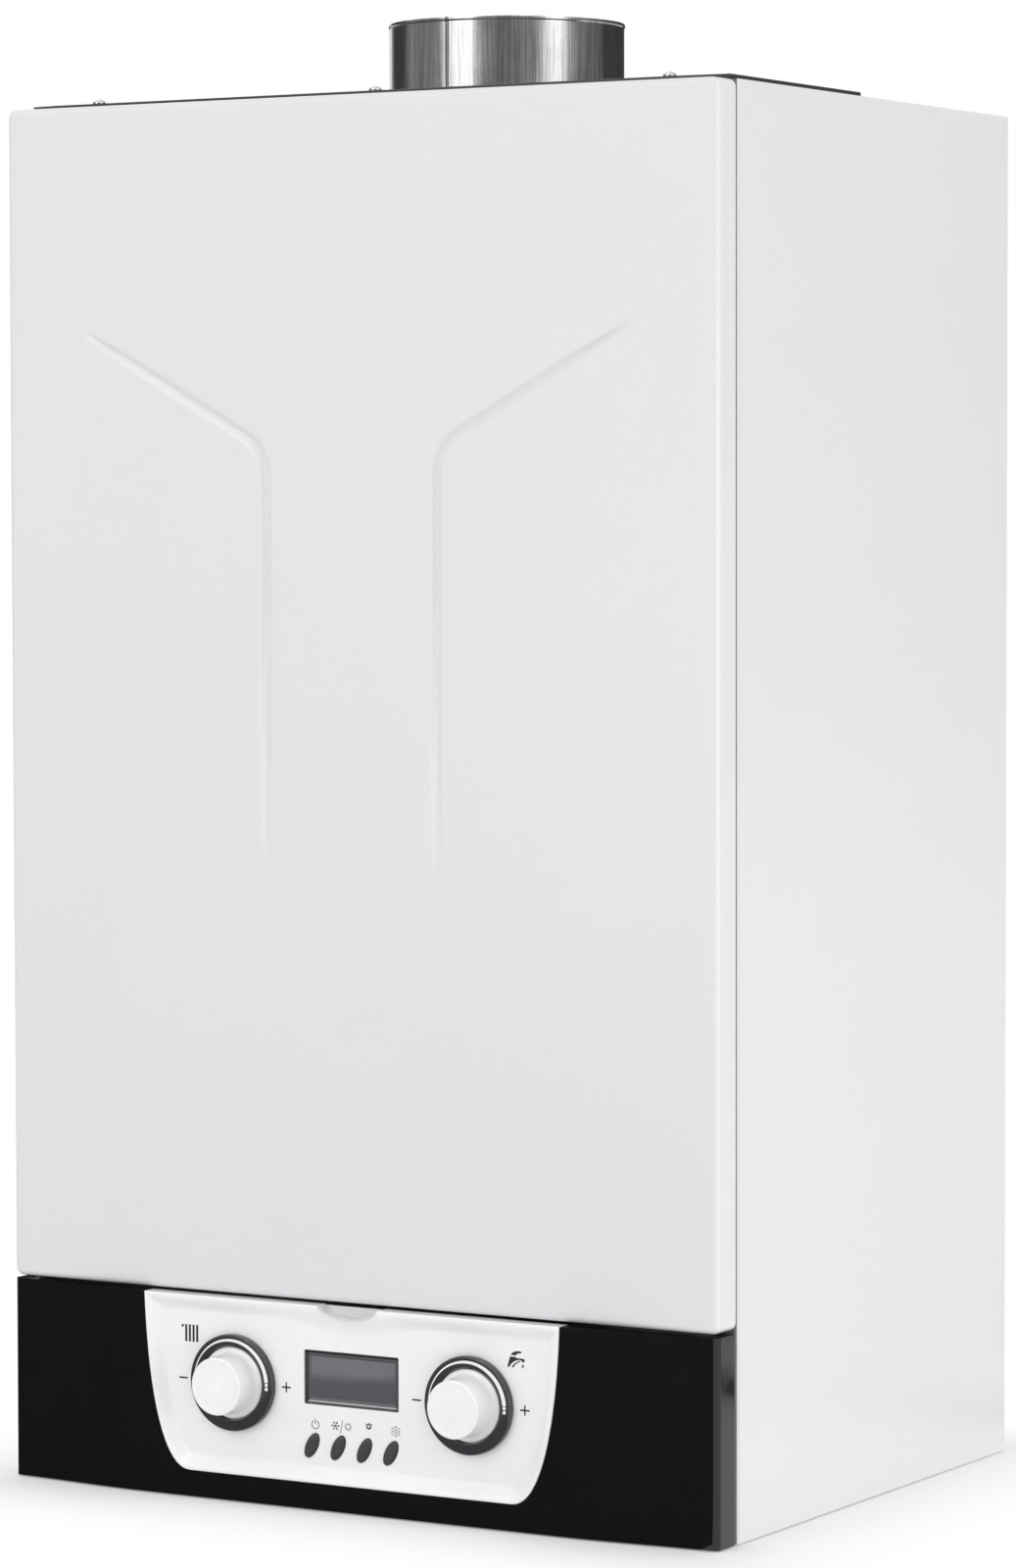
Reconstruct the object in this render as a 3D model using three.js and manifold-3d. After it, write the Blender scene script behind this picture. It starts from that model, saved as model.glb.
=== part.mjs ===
// Open-flued wall-hung gas boiler, millimetres, +Z up, front towards -Y.
// The origin is under the middle of the whole outline, on the level that the casing's lower edges stand on.
import * as THREE from 'three';
import { mergeVertices } from 'three/addons/utils/BufferGeometryUtils.js';
import Module from 'manifold-3d';

const wasm = await Module();
wasm.setup();

// Casing
const caseWidth = 423;
const caseHeight = 720;
const caseDepth = 327.5;
const sheet = 1.2;
const clear = 0.3;
const overrun = 2;
const edgeRadius = 3.5;
const cornerRadius = 4.5;
const seamHeightShare = 0.14792;
const seamHeight = caseHeight * seamHeightShare;
const seamGap = 1.5;
const returnDepth = 17;
const sideSetback = 20;
const flange = 12;
const backInset = 3;
const backFlange = 14;

// Hanging slots and service opening in the back plate
const slotSpacingShare = 0.70922;
const slotSpacing = caseWidth * slotSpacingShare;
const slotLength = 30;
const slotHeight = 12;
const slotDrop = 34;
const serviceWidthShare = 0.78014;
const serviceWidth = caseWidth * serviceWidthShare;
const serviceHeight = 92;
const serviceFoot = 26;

// Pressed lines on the front panel
const pressTipXShare = 0.39007;
const pressTipX = caseWidth * pressTipXShare;
const pressTipZShare = 0.83889;
const pressTipZ = caseHeight * pressTipZShare;
const pressBendXShare = 0.12057;
const pressBendX = caseWidth * pressBendXShare;
const pressBendZShare = 0.75278;
const pressBendZ = caseHeight * pressBendZShare;
const pressFootZShare = 0.41111;
const pressFootZ = caseHeight * pressFootZShare;
const pressBendRadius = 14;
const pressWidth = 4.2;
const pressFloor = 1.2;
const pressDepth = 1.3;
const pressFade = 46;

// Top covers and their screws
const coverRise = 2.2;
const coverInset = 9;
const coverChamfer = 16;
const coverSplitShare = 0.48855;
const coverSplit = caseDepth * coverSplitShare;
const coverHoleGap = 0.8;
const coverBackset = 3.5;
const screwSetback = 26;
const screwSpacingShare = 0.40307;
const screwSpacing = caseWidth * screwSpacingShare;
const screwHead = 3.4;
const screwHeadHeight = 2.6;
const screwShank = 2;
const screwLength = 10;

// Flue collar and hood
const flueRadius = 62;
const flueBackShare = 0.48092;
const flueBack = caseDepth * flueBackShare;
const flueRise = 46;
const flueWall = 1.2;
const flueDepth = 34;
const flueBead = 1.4;
const flueFoot = 9;
const hoodDepthShare = 0.51908;
const hoodDepth = caseDepth * hoodDepthShare;
const hoodSpreadShare = 0.08235;
const hoodSpread = hoodDepth * hoodSpreadShare;
const hoodSlotShare = 0.3;

// Chamber, its cover and the pipes beside it
const chamberEar = 2.5;
const coverFoot = 40;
const coverThick = 1.5;
const coverRibShare = 0.26;
const electrodeXShare = 0.14657;
const electrodeX = caseWidth * electrodeXShare;
const sightZShare = 0.50278;
const sightZ = caseHeight * sightZShare;
const bankShare = 0.24;
const pipeXShare = 0.37825;
const pipeX = caseWidth * pipeXShare;
const portZShare = 0.77917;
const portZ = caseHeight * portZShare;
const portShiftShare = 0.23529;
const portShift = hoodDepth * portShiftShare;
const portDepthShare = 0.15294;
const portDepth = hoodDepth * portDepthShare;

// Control fascia
const fasciaWall = 2.5;
const fasciaSwell = 5.5;
const fasciaSwellEnd = 60;
const hingeY = 6;
const hingeZ = 6;
const hingePin = 2.4;
const hingeEarXShare = 0.44681;
const hingeEarX = caseWidth * hingeEarXShare;
const hingeEar = 3;
const hingeRise = 22;
const hingeFoot = 18;

// White control panel
const panelTopHalfShare = 0.29504;
const panelTopHalf = caseWidth * panelTopHalfShare;
const panelFootHalfShare = 0.77724;
const panelFootHalf = panelTopHalf * panelFootHalfShare;
const panelFootZShare = 0.12582;
const panelFootZ = seamHeight * panelFootZShare;
const panelWall = 2.5;
const panelDish = 4;
const panelBand = 9;
const panelLip = 1.2;
const panelDepth = 9;
const browDip = 5;
const browReachShare = 0.32051;
const browReach = panelTopHalf * browReachShare;

// Finger recess in the panel's upper edge
const fingerHalfShare = 0.14423;
const fingerHalf = panelTopHalf * fingerHalfShare;
const fingerDrop = 8.6;
const fingerDepth = 9;
const fingerWall = 1.2;

// Knobs and their rings
const knobXShare = 0.56891;
const knobX = panelTopHalf * knobXShare;
const knobZShare = 0.57277;
const knobZ = seamHeight * knobZShare;
const ringRadiusShare = 0.20112;
const ringRadius = panelTopHalf * ringRadiusShare;
const ringBoreShare = 0.15545;
const ringBore = panelTopHalf * ringBoreShare;
const ringRise = 4;
const ringEdge = 1.1;
const skirtRadiusShare = 0.14904;
const skirtRadius = panelTopHalf * skirtRadiusShare;
const skirtEdge = 1.4;
const gripRadiusShare = 0.12179;
const gripRadius = panelTopHalf * gripRadiusShare;
const gripEdge = 1.6;
const gripTaper = 0.5;
const skirtHeight = 2.6;
const stemReach = 5.2;
const turnerRadius = 8;
const knobReach = 17.7;
const knobStem = 3;
const pointerLength = 3;
const pointerWidth = 1.6;
const pointerRise = 0.6;

// Display window
const windowWidthShare = 0.45192;
const windowWidth = panelTopHalf * windowWidthShare;
const windowHeightShare = 0.25728;
const windowHeight = seamHeight * windowHeightShare;
const windowZShare = 0.63286;
const windowZ = seamHeight * windowZShare;
const windowSink = 0.6;
const windowBevel = 1.8;
const windowThick = 2.2;

// Push buttons
const buttonPitchShare = 0.12684;
const buttonPitch = panelTopHalf * buttonPitchShare;
const buttonZShare = 0.30235;
const buttonZ = seamHeight * buttonZShare;
const buttonHalfLengthShare = 0.05529;
const buttonHalfLength = panelTopHalf * buttonHalfLengthShare;
const buttonHalfWidth = 3.3;
const buttonLeanShare = 28 / 180;
const buttonRise = 1.4;
const buttonTravel = 1.2;
const buttonFlange = 1.2;
const buttonFlangeThick = 1.2;

// Electronics behind the panel
const boxHalfShare = 0.94551;
const boxHalf = panelTopHalf * boxHalfShare;
const boxFootShare = 0.10329;
const boxFoot = seamHeight * boxFootShare;
const boxTopShare = 0.87324;
const boxTop = seamHeight * boxTopShare;
const boxBackShare = 0.17099;
const boxBack = caseDepth * boxBackShare;
const boxWall = 2;
const boardThick = 1.6;
const boardBack = 14;
const boardMargin = 5;
const glandRadius = 7;
const glandLength = 12;
const glandLip = 2;
const glandBore = 3.5;

// Combustion chamber, burner and primary heat exchanger, placed by height and by depth behind the front
const chamberHalfShare = 0.35461;
const chamberHalf = caseWidth * chamberHalfShare;
const chamberFootShare = 0.41667;
const chamberFoot = caseHeight * chamberFootShare;
const chamberTopShare = 0.73611;
const chamberTop = caseHeight * chamberTopShare;
const chamberWall = 1.5;
const chamberLining = 8;
const chamberRib = 5;
const chamberEarHeight = 44;
const chamberEarRiseShare = 0.42;
const sightRadius = 13;
const sightThick = 3;
const burnerBlades = 11;
const burnerHalfShare = 0.28842;
const burnerHalf = caseWidth * burnerHalfShare;
const burnerHeight = 40;
const burnerDepthShare = 0.75294;
const burnerDepth = hoodDepth * burnerDepthShare;
const burnerBladeWidth = 13;
const burnerCrown = 4;
const burnerFrame = 3;
const burnerSkin = 1.2;
const burnerRise = 8;
const manifoldSide = 15;
const nozzleRadius = 4.5;
const nozzleLength = 9;
const electrodeRadius = 1.4;
const electrodeCeramic = 4;
const electrodeReach = 46;
const finCount = 22;
const finThick = 1;
const exchangerHeightShare = 0.08611;
const exchangerHeight = caseHeight * exchangerHeightShare;
const exchangerHalfShare = 0.32151;
const exchangerHalf = caseWidth * exchangerHalfShare;
const exchangerDepthShare = 0.8;
const exchangerDepth = hoodDepth * exchangerDepthShare;
const exchangerDrop = 6;
const tubeRows = 5;
const tubeRadius = 8;
const headerThick = 9;
const elbowReach = 9;

// Expansion vessel
const vesselRadiusShare = 0.20278;
const vesselRadius = caseHeight * vesselRadiusShare;
const vesselThickShare = 0.20763;
const vesselThick = caseDepth * vesselThickShare;
const vesselZShare = 0.625;
const vesselZ = caseHeight * vesselZShare;
const vesselSeam = 4;
const vesselWall = 2;
const vesselBore = 3;
const vesselDomeShare = 0.62;

// Bottom rail and the five connections
const tailSpacingShare = 0.15366;
const tailSpacing = caseWidth * tailSpacingShare;
const tailYShare = 0.76947;
const tailY = caseDepth * tailYShare;
const tailFoot = 8;
const tailRadius = 9;
const tailBore = 7;
const tailNutRadius = 15;
const tailNutHeight = 13;
const railZShare = 0.05556;
const railZ = caseHeight * railZShare;
const railThick = 2;
const railHalfShare = 0.43972;
const railHalf = caseWidth * railHalfShare;
const railDepthShare = 0.28092;
const railDepth = caseDepth * railDepthShare;
const railLip = 18;

// Gas valve, pump, water blocks and plate heat exchanger
const valveHalf = 31;
const valveHeightShare = 0.11667;
const valveHeight = caseHeight * valveHeightShare;
const valveDepthShare = 0.22595;
const valveDepth = caseDepth * valveDepthShare;
const valveFootShare = 0.15556;
const valveFoot = caseHeight * valveFootShare;
const coilRadius = 17;
const coilHeightShare = 0.04722;
const coilHeight = caseHeight * coilHeightShare;
const coilSpacingShare = 0.11603;
const coilSpacing = caseDepth * coilSpacingShare;
const pumpZShare = 0.21944;
const pumpZ = caseHeight * pumpZShare;
const pumpRadius = 44;
const pumpMotorShare = 0.22595;
const pumpMotor = caseDepth * pumpMotorShare;
const pumpVolute = 40;
const pumpFins = 10;
const pumpFinDepth = 2.4;
const blockHalf = 21;
const blockDepthShare = 0.14046;
const blockDepth = caseDepth * blockDepthShare;
const blockFootShare = 0.08611;
const blockFoot = caseHeight * blockFootShare;
const returnTopShare = 0.14444;
const returnTop = caseHeight * returnTopShare;
const flowTopShare = 0.23889;
const flowTop = caseHeight * flowTopShare;
const blockBore = 13;
const motorHalf = 23;
const motorHeightShare = 0.075;
const motorHeight = caseHeight * motorHeightShare;
const motorDepthShare = 0.13435;
const motorDepth = caseDepth * motorDepthShare;
const plateCount = 10;
const plateThick = 2.4;
const platePitch = 4.6;
const plateHeightShare = 0.09722;
const plateHeight = caseHeight * plateHeightShare;
const plateHalfShare = 0.19858;
const plateHalf = caseWidth * plateHalfShare;
const plateYShare = 0.48855;
const plateY = caseDepth * plateYShare;
const ventRadius = 15;
const ventHeightShare = 0.06389;
const ventHeight = caseHeight * ventHeightShare;
const reliefRadius = 11;
const reliefLength = 26;
const reliefKnobRadius = 13;
const reliefKnobLength = 13;
const reliefLobes = 8;
const fillKnobRadius = 12;
const fillKnobHeight = 14;
const fillStem = 3;
const fillDrop = 22;
const fillShare = 1.5;
const fillX = tailSpacing * fillShare;
const reliefZShare = 0.11667;
const reliefZ = caseHeight * reliefZShare;
const reliefOutlet = 26;
const lobeShare = 0.16;
const valveEdge = 5;
const valveOutletZShare = 0.23889;
const valveOutletZ = caseHeight * valveOutletZShare;
const plateEdge = 8;
const motorEdge = 4;
const motorCapShare = 0.72;
const ventSeat = 7;
const ventXShare = 0.29314;
const ventX = caseWidth * ventXShare;
const ventNeckShare = 0.2;

// Copper pipes
const pipeRadius = 9;
const gasPipeRadius = 7.5;
const thinPipeRadius = 4;
const pipeBend = 24;
const thermostatRadius = 11;
const thermostatThick = 9;

// Fineness of the round forms
const fineSides = 32;
const roundSides = 24;
const smallSides = 14;
const pipeSides = 8;
const quarter = Math.PI / 2;

// Places that follow from the sizes
const fieldDepth = panelDish - fasciaSwell;
const faceDepth = fieldDepth - clear - knobReach;
const frontY = -(caseDepth + faceDepth) / 2;
const backY = frontY + caseDepth;
const halfWidth = caseWidth / 2;
const coverBase = caseHeight + clear;
const coverTop = coverBase + coverRise;
const flueY = frontY + flueBack;
const fasciaTop = seamHeight - seamGap;
const panelTopZ = fasciaTop - panelLip / 2;
const fieldY = frontY + fieldDepth;
const rimY = frontY - fasciaSwell;
const chamberFront = flueY - hoodDepth / 2;
const chamberBack = flueY + hoodDepth / 2;
const chamberLayers = chamberWall + clear + chamberLining;
const plateFace = backY - sheet;
const tailPlace = frontY + tailY;
const boardY = frontY + boardBack;

// Depth behind the casing's front plane
const deep = (distance) => frontY + distance;

// Turns a closed geometry into a solid, with its faces outwards and its shared corners merged
function solid(geometry) {
  const bare = geometry.index ? geometry.toNonIndexed() : geometry.clone();
  bare.deleteAttribute('normal');
  bare.deleteAttribute('uv');
  const joined = mergeVertices(bare);
  const places = joined.attributes.position.array;
  const corners = [];
  let volume = 0;
  for (let i = 0; i < joined.index.count; i += 3) {
    const [a, b, c] = joined.index.array.slice(i, i + 3);
    if (a === b || b === c || c === a) continue;
    corners.push(a, b, c);
    const [p, q, r] = [a, b, c].map((n) => new THREE.Vector3().fromArray(places, 3 * n));
    volume += p.dot(q.cross(r));
  }
  if (volume < 0) {
    corners.reverse();
  }
  const mesh = new wasm.Mesh({
    numProp: 3,
    vertProperties: new Float32Array(places),
    triVerts: new Uint32Array(corners),
  });
  return new wasm.Manifold(mesh);
}

// Turns a solid back into a drawable geometry with flat faces
function drawable(body) {
  const mesh = body.getMesh();
  const geometry = new THREE.BufferGeometry();
  geometry.setAttribute('position', new THREE.BufferAttribute(new Float32Array(mesh.vertProperties), 3));
  geometry.setIndex(new THREE.BufferAttribute(new Uint32Array(mesh.triVerts), 1));
  const flat = geometry.toNonIndexed();
  flat.computeVertexNormals();
  return flat;
}

const join = (bodies) => bodies.reduce((whole, body) => whole.add(body));
const cut = (body, tools) => tools.reduce((rest, tool) => rest.subtract(tool), body);

// A rectangular block between two places on each axis, given in either order
function block(x0, x1, y0, y1, z0, z1) {
  const box = new THREE.BoxGeometry(Math.abs(x1 - x0), Math.abs(y1 - y0), Math.abs(z1 - z0));
  return solid(box.translate((x0 + x1) / 2, (y0 + y1) / 2, (z0 + z1) / 2));
}

// A closed outline from [across, up] points, with holes if any
function outline(points, holes = []) {
  const shape = new THREE.Shape(points.map(([a, b]) => new THREE.Vector2(a, b)));
  shape.holes = holes.map((hole) => new THREE.Path(hole.map(([a, b]) => new THREE.Vector2(a, b))));
  return shape;
}

// A plan outline raised along Z
function raise(shape, z0, z1) {
  const body = new THREE.ExtrudeGeometry(shape, { depth: z1 - z0, bevelEnabled: false });
  return solid(body.translate(0, 0, z0));
}

// A front outline in X and Z run along Y
function run(shape, y0, y1) {
  const body = new THREE.ExtrudeGeometry(shape, { depth: y1 - y0, bevelEnabled: false });
  return solid(body.rotateX(quarter).translate(0, y1, 0));
}

// A side outline in Y and Z run along X
function span(shape, x0, x1) {
  const body = new THREE.ExtrudeGeometry(shape, { depth: x1 - x0, bevelEnabled: false });
  const turned = new THREE.Matrix4().makeBasis(
    new THREE.Vector3(0, 1, 0),
    new THREE.Vector3(0, 0, 1),
    new THREE.Vector3(1, 0, 0),
  );
  return solid(body.applyMatrix4(turned).translate(x0, 0, 0));
}

// A [radius, height] profile turned about an upright axis, or about one along Y
function turnZ(profile, x, y, z, sides = roundSides) {
  const points = profile.map(([r, h]) => new THREE.Vector2(r, h));
  return solid(new THREE.LatheGeometry(points, sides).rotateX(quarter).translate(x, y, z));
}

function turnY(profile, x, y, z, sides = roundSides) {
  const points = profile.map(([r, h]) => new THREE.Vector2(r, h));
  return solid(new THREE.LatheGeometry(points, sides).translate(x, y, z));
}

const rodProfile = (radius, length) => [[0, 0], [radius, 0], [radius, length], [0, length]];
const rodZ = (radius, x, y, z0, z1, sides) => turnZ(rodProfile(radius, z1 - z0), x, y, z0, sides);
const rodY = (radius, x, z, y0, y1, sides) => turnY(rodProfile(radius, y1 - y0), x, y0, z, sides);

function rodX(radius, y, z, x0, x1, sides = smallSides) {
  const rod = new THREE.CylinderGeometry(radius, radius, x1 - x0, sides);
  return solid(rod.rotateZ(quarter).translate((x0 + x1) / 2, y, z));
}

// A body through rings of equally many points, closed by a fan at each end
function loft(rings) {
  const places = [];
  const faces = [];
  const count = rings[0].length;
  for (const ring of rings) {
    for (const point of ring) {
      places.push(...point);
    }
  }
  for (let i = 0; i + 1 < rings.length; i += 1) {
    for (let j = 0; j < count; j += 1) {
      const next = (j + 1) % count;
      faces.push(i * count + j, i * count + next, (i + 1) * count + next);
      faces.push(i * count + j, (i + 1) * count + next, (i + 1) * count + j);
    }
  }
  const ends = [rings[0], rings[rings.length - 1]];
  ends.forEach((ring, end) => {
    const middle = [0, 1, 2].map((axis) => ring.reduce((sum, point) => sum + point[axis], 0) / count);
    const hub = places.length / 3;
    const first = end * (rings.length - 1) * count;
    places.push(...middle);
    for (let j = 0; j < count; j += 1) {
      const pair = [first + j, first + ((j + 1) % count)];
      faces.push(hub, ...(end ? pair : pair.reverse()));
    }
  });
  const geometry = new THREE.BufferGeometry();
  geometry.setAttribute('position', new THREE.BufferAttribute(new Float32Array(places), 3));
  geometry.setIndex(faces);
  return solid(geometry);
}

// A round pipe through straight runs, with its corners bent
function pipe(stops, radius, steps, bend = pipeBend) {
  const route = new THREE.CurvePath();
  const points = stops.map((stop) => new THREE.Vector3(...stop));
  let from = points[0];
  for (let i = 1; i + 1 < points.length; i += 1) {
    const before = points[i].clone().sub(points[i - 1]).setLength(bend);
    const after = points[i + 1].clone().sub(points[i]).setLength(bend);
    const start = points[i].clone().sub(before);
    const end = points[i].clone().add(after);
    route.add(new THREE.LineCurve3(from, start));
    route.add(new THREE.QuadraticBezierCurve3(start, points[i], end));
    from = end;
  }
  route.add(new THREE.LineCurve3(from, points[points.length - 1]));
  const round = new THREE.Path().absarc(0, 0, radius, 0, 2 * Math.PI);
  const section = new THREE.Shape(round.getPoints(pipeSides / 2));
  return solid(new THREE.ExtrudeGeometry(section, { steps, extrudePath: route, bevelEnabled: false }));
}

// Points of a rectangle with rounded corners
function roundedCorners(a0, a1, b0, b1, radius, steps = 4) {
  const centres = [[a1 - radius, b1 - radius], [a0 + radius, b1 - radius], [a0 + radius, b0 + radius]];
  centres.push([a1 - radius, b0 + radius]);
  const points = [];
  centres.forEach(([a, b], corner) => {
    for (let i = 0; i <= steps; i += 1) {
      const angle = (corner + i / steps) * quarter;
      points.push([a + radius * Math.cos(angle), b + radius * Math.sin(angle)]);
    }
  });
  return points;
}

// Moves each point of a closed anticlockwise outline inwards by the same wall
function inset(points, wall) {
  return points.map((point, i) => {
    const last = points[(i + points.length - 1) % points.length];
    const next = points[(i + 1) % points.length];
    const normals = [[last, point], [point, next]].map(([p, q]) => {
      const length = Math.hypot(q[0] - p[0], q[1] - p[1]);
      return [-(q[1] - p[1]) / length, (q[0] - p[0]) / length];
    });
    const [m, n] = normals;
    const spread = 1 + m[0] * n[0] + m[1] * n[1];
    return [0, 1].map((axis) => point[axis] + (wall * (m[axis] + n[axis])) / spread);
  });
}

const group = new THREE.Group();

// Adds a named piece with its own colour and finish
function piece(name, body, color, roughness, metalness) {
  const material = new THREE.MeshStandardMaterial({ color, roughness, metalness });
  const mesh = new THREE.Mesh(drawable(body), material);
  mesh.name = name;
  group.add(mesh);
}

// A block whose front edges and front corners are rounded, as a folded and welded steel cover has
function roundedBlock(wall) {
  const half = halfWidth - wall;
  const front = frontY + wall;
  const back = frontY + returnDepth + (wall ? overrun : 0);
  const [foot, top] = [seamHeight + wall, caseHeight - wall];
  const edge = edgeRadius - wall;
  const corner = cornerRadius - wall;
  const deeper = back + edgeRadius;
  const plan = raise(outline(roundedCorners(-half, half, front, deeper, edge)), foot, top);
  const side = span(outline(roundedCorners(front, deeper, foot, top, edge)), -half, half);
  const face = run(outline(roundedCorners(-half, half, foot, top, corner)), front, back);
  return plan.intersect(side).intersect(face);
}

// One pressed line: up from its foot, round a bend and out to its tip, fading at both ends
function pressLine(side, wall) {
  const slope = Math.atan2(pressTipZ - pressBendZ, pressTipX - pressBendX);
  const leg = [Math.cos(slope), Math.sin(slope)];
  const corner = [pressBendX, pressBendZ];
  const stops = [[pressBendX, pressFootZ, 0], [pressBendX, pressFootZ + pressFade, 1]];
  const bendSteps = 6;
  for (let i = 0; i <= bendSteps; i += 1) {
    const t = i / bendSteps;
    const before = (1 - t) * (1 - t) * pressBendRadius;
    const after = t * t * pressBendRadius;
    stops.push([corner[0] + leg[0] * after, corner[1] - before + leg[1] * after, 1]);
  }
  stops.push([pressTipX - leg[0] * pressFade, pressTipZ - leg[1] * pressFade, 1], [pressTipX, pressTipZ, 0]);
  const lift = pressDepth / 2;
  const rings = stops.map(([x, z, full], i) => {
    const from = stops[Math.max(i - 1, 0)];
    const to = stops[Math.min(i + 1, stops.length - 1)];
    const length = Math.hypot(to[0] - from[0], to[1] - from[1]);
    const across = [(to[1] - from[1]) / length, (from[0] - to[0]) / length];
    const depth = full ? pressDepth + wall : wall - lift / 2;
    const mouth = pressWidth / 2 + wall;
    const floor = pressFloor / 2 + wall / 2;
    const corners = [[-mouth, -lift], [mouth, -lift], [floor, depth], [-floor, depth]];
    return corners.map(([a, d]) => [side * (x + across[0] * a), frontY + d, z + across[1] * a]);
  });
  return loft(rings);
}

function frontPanel() {
  const ridges = [-1, 1].map((side) => pressLine(side, sheet));
  const hollow = cut(roundedBlock(sheet), ridges);
  const grooves = [-1, 1].map((side) => pressLine(side, 0));
  return cut(roundedBlock(0), [hollow, ...grooves]);
}

// A side of the casing: a skin with its front and upper edges folded inwards
function sidePanel(side) {
  const front = deep(sideSetback);
  const plan = [
    [halfWidth, backY],
    [halfWidth - flange, backY],
    [halfWidth - flange, front],
    [halfWidth - edgeRadius / 2, front],
    [halfWidth, front + edgeRadius / 2],
  ];
  const body = raise(outline(plan.map(([x, y]) => [side * x, y])), 0, caseHeight);
  const inner = side * (halfWidth - sheet);
  const beyond = side * (halfWidth - flange - overrun);
  const top = caseHeight - sheet;
  return cut(body, [block(inner, beyond, front + sheet, backY + overrun, -overrun, top)]);
}

// The back plate: folded forwards at its sides, with two hanging slots and a service opening
function backPlate() {
  const half = halfWidth - sheet - clear;
  const top = caseHeight - sheet - clear;
  const front = plateFace - backFlange;
  const body = block(-half, half, front, backY, 0, top);
  const hollow = block(-half + sheet, half - sheet, front - overrun, plateFace, -overrun, top + overrun);
  const slotTop = top - slotDrop;
  const slots = [-1, 1].map((side) => {
    const middle = (side * slotSpacing) / 2;
    const ends = [middle - slotLength / 2, middle + slotLength / 2];
    const shape = outline(roundedCorners(...ends, slotTop - slotHeight, slotTop, slotHeight / 2));
    return run(shape, front, backY + overrun);
  });
  const serviceTop = serviceFoot + serviceHeight;
  const service = roundedCorners(-serviceWidth / 2, serviceWidth / 2, serviceFoot, serviceTop, cornerRadius);
  return cut(body, [hollow, ...slots, run(outline(service), front, backY + overrun)]);
}

// The plan of one top cover, with a half-round mouth for the flue collar
function coverPlan(front, back, chamfer, mouthSide) {
  const half = halfWidth - coverInset;
  const mouth = flueRadius + coverHoleGap;
  const steps = roundSides / 2;
  const arc = [];
  for (let i = 0; i <= steps; i += 1) {
    const angle = (i / steps) * Math.PI;
    arc.push([mouth * Math.cos(angle), flueY + mouthSide * mouth * Math.sin(angle)]);
  }
  const split = mouthSide < 0 ? back : front;
  const far = mouthSide < 0 ? front : back;
  const inward = far + (mouthSide < 0 ? chamfer : -chamfer);
  const rim = arc.map(([x, y]) => [x, mouthSide < 0 ? Math.min(y, split) : Math.max(y, split)]);
  const start = [[mouth, split], ...rim.slice(1, -1), [-mouth, split], [-half, split]];
  const end = [[-half, inward], [-half + chamfer, far], [half - chamfer, far], [half, inward], [half, split]];
  const points = [...start, ...end];
  return mouthSide < 0 ? points : points.reverse();
}

function topCover(front, back, chamfer, mouthSide) {
  const plan = coverPlan(front, back, chamfer, mouthSide);
  const body = raise(outline(plan), coverBase, coverTop);
  const hollow = raise(outline(inset(plan, sheet)), coverBase - overrun, coverTop - sheet);
  return cut(body, [hollow]);
}

const screwPlaces = [-screwSpacing, 0, screwSpacing];

function frontCover() {
  const body = topCover(deep(coverBackset), deep(coverSplit) - clear / 2, coverChamfer, -1);
  const y = deep(screwSetback);
  const hole = (x) => rodZ(screwShank + clear, x, y, coverBase - overrun, coverTop + overrun, smallSides);
  return cut(body, screwPlaces.map(hole));
}

function topScrew(x) {
  const seat = coverTop + clear;
  const profile = [
    [0, seat - screwLength],
    [screwShank, seat - screwLength],
    [screwShank, seat],
    [screwHead, seat],
    [screwHead, seat + screwHeadHeight / 2],
    [screwHead - screwHeadHeight / 2, seat + screwHeadHeight],
    [0, seat + screwHeadHeight],
  ];
  return turnZ(profile, x, deep(screwSetback), 0, smallSides);
}

// The flue collar: a rolled tube with a foot flange below and a turned bead at its rim
function flueCollar() {
  const rim = caseHeight + flueRise;
  const foot = coverBase - flueDepth;
  const inner = flueRadius - flueWall;
  const profile = [
    [inner, foot],
    [flueRadius + flueFoot, foot],
    [flueRadius + flueFoot, foot + flueWall],
    [flueRadius, foot + flueWall],
    [flueRadius, rim - flueBead - flueWall],
    [flueRadius + flueBead, rim - flueBead],
    [flueRadius + flueBead, rim],
    [inner, rim],
    [inner, foot],
  ];
  return turnZ(profile, 0, flueY, 0, fineSides);
}

// The white panel's outline, anticlockwise from its upper right corner: straight above, drawn in
// below by a curve on each side. The first shares place the curve's two handles.
const handleShares = { upperRise: 0.452, upperSpread: 0.932, lowerSpread: 0.612 };
const sideSteps = 12;
const topSteps = 24;

function panelOutline(grow = 0) {
  const spread = panelTopHalf - panelFootHalf;
  const rise = panelTopZ - panelFootZ;
  const upperX = panelFootHalf + spread * handleShares.upperSpread;
  const curve = new THREE.CubicBezierCurve(
    new THREE.Vector2(panelTopHalf, panelTopZ),
    new THREE.Vector2(upperX, panelFootZ + rise * handleShares.upperRise),
    new THREE.Vector2(panelFootHalf + spread * handleShares.lowerSpread, panelFootZ),
    new THREE.Vector2(panelFootHalf, panelFootZ),
  );
  const right = curve.getPoints(sideSteps).map((point) => [point.x, point.y]);
  const top = [];
  for (let i = 1; i < topSteps; i += 1) {
    top.push([-panelTopHalf + (2 * panelTopHalf * i) / topSteps, panelTopZ]);
  }
  const left = right.map(([x, z]) => [-x, z]);
  const points = [...right.reverse(), ...top.reverse(), ...left];
  return grow ? inset(points, -grow) : points;
}

// The panel's dish, whose upper edge dips round the finger recess
function panelDishBody() {
  const brow = (x) => (Math.abs(x) < browReach ? (1 + Math.cos((Math.PI * x) / browReach)) / 2 : 0);
  const ring = (wall, y) => inset(panelOutline(), wall).map(([x, z]) => {
    const upper = z > panelTopZ - wall - panelLip ? 1 : 0;
    const dip = upper * browDip * brow(x);
    return [x, y, z - dip];
  });
  const slope = (panelBand - panelLip) / panelDish;
  const mouth = ring(panelLip - slope * overrun, rimY - overrun);
  const floor = ring(panelBand, fieldY);
  return { mouth, floor };
}

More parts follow.
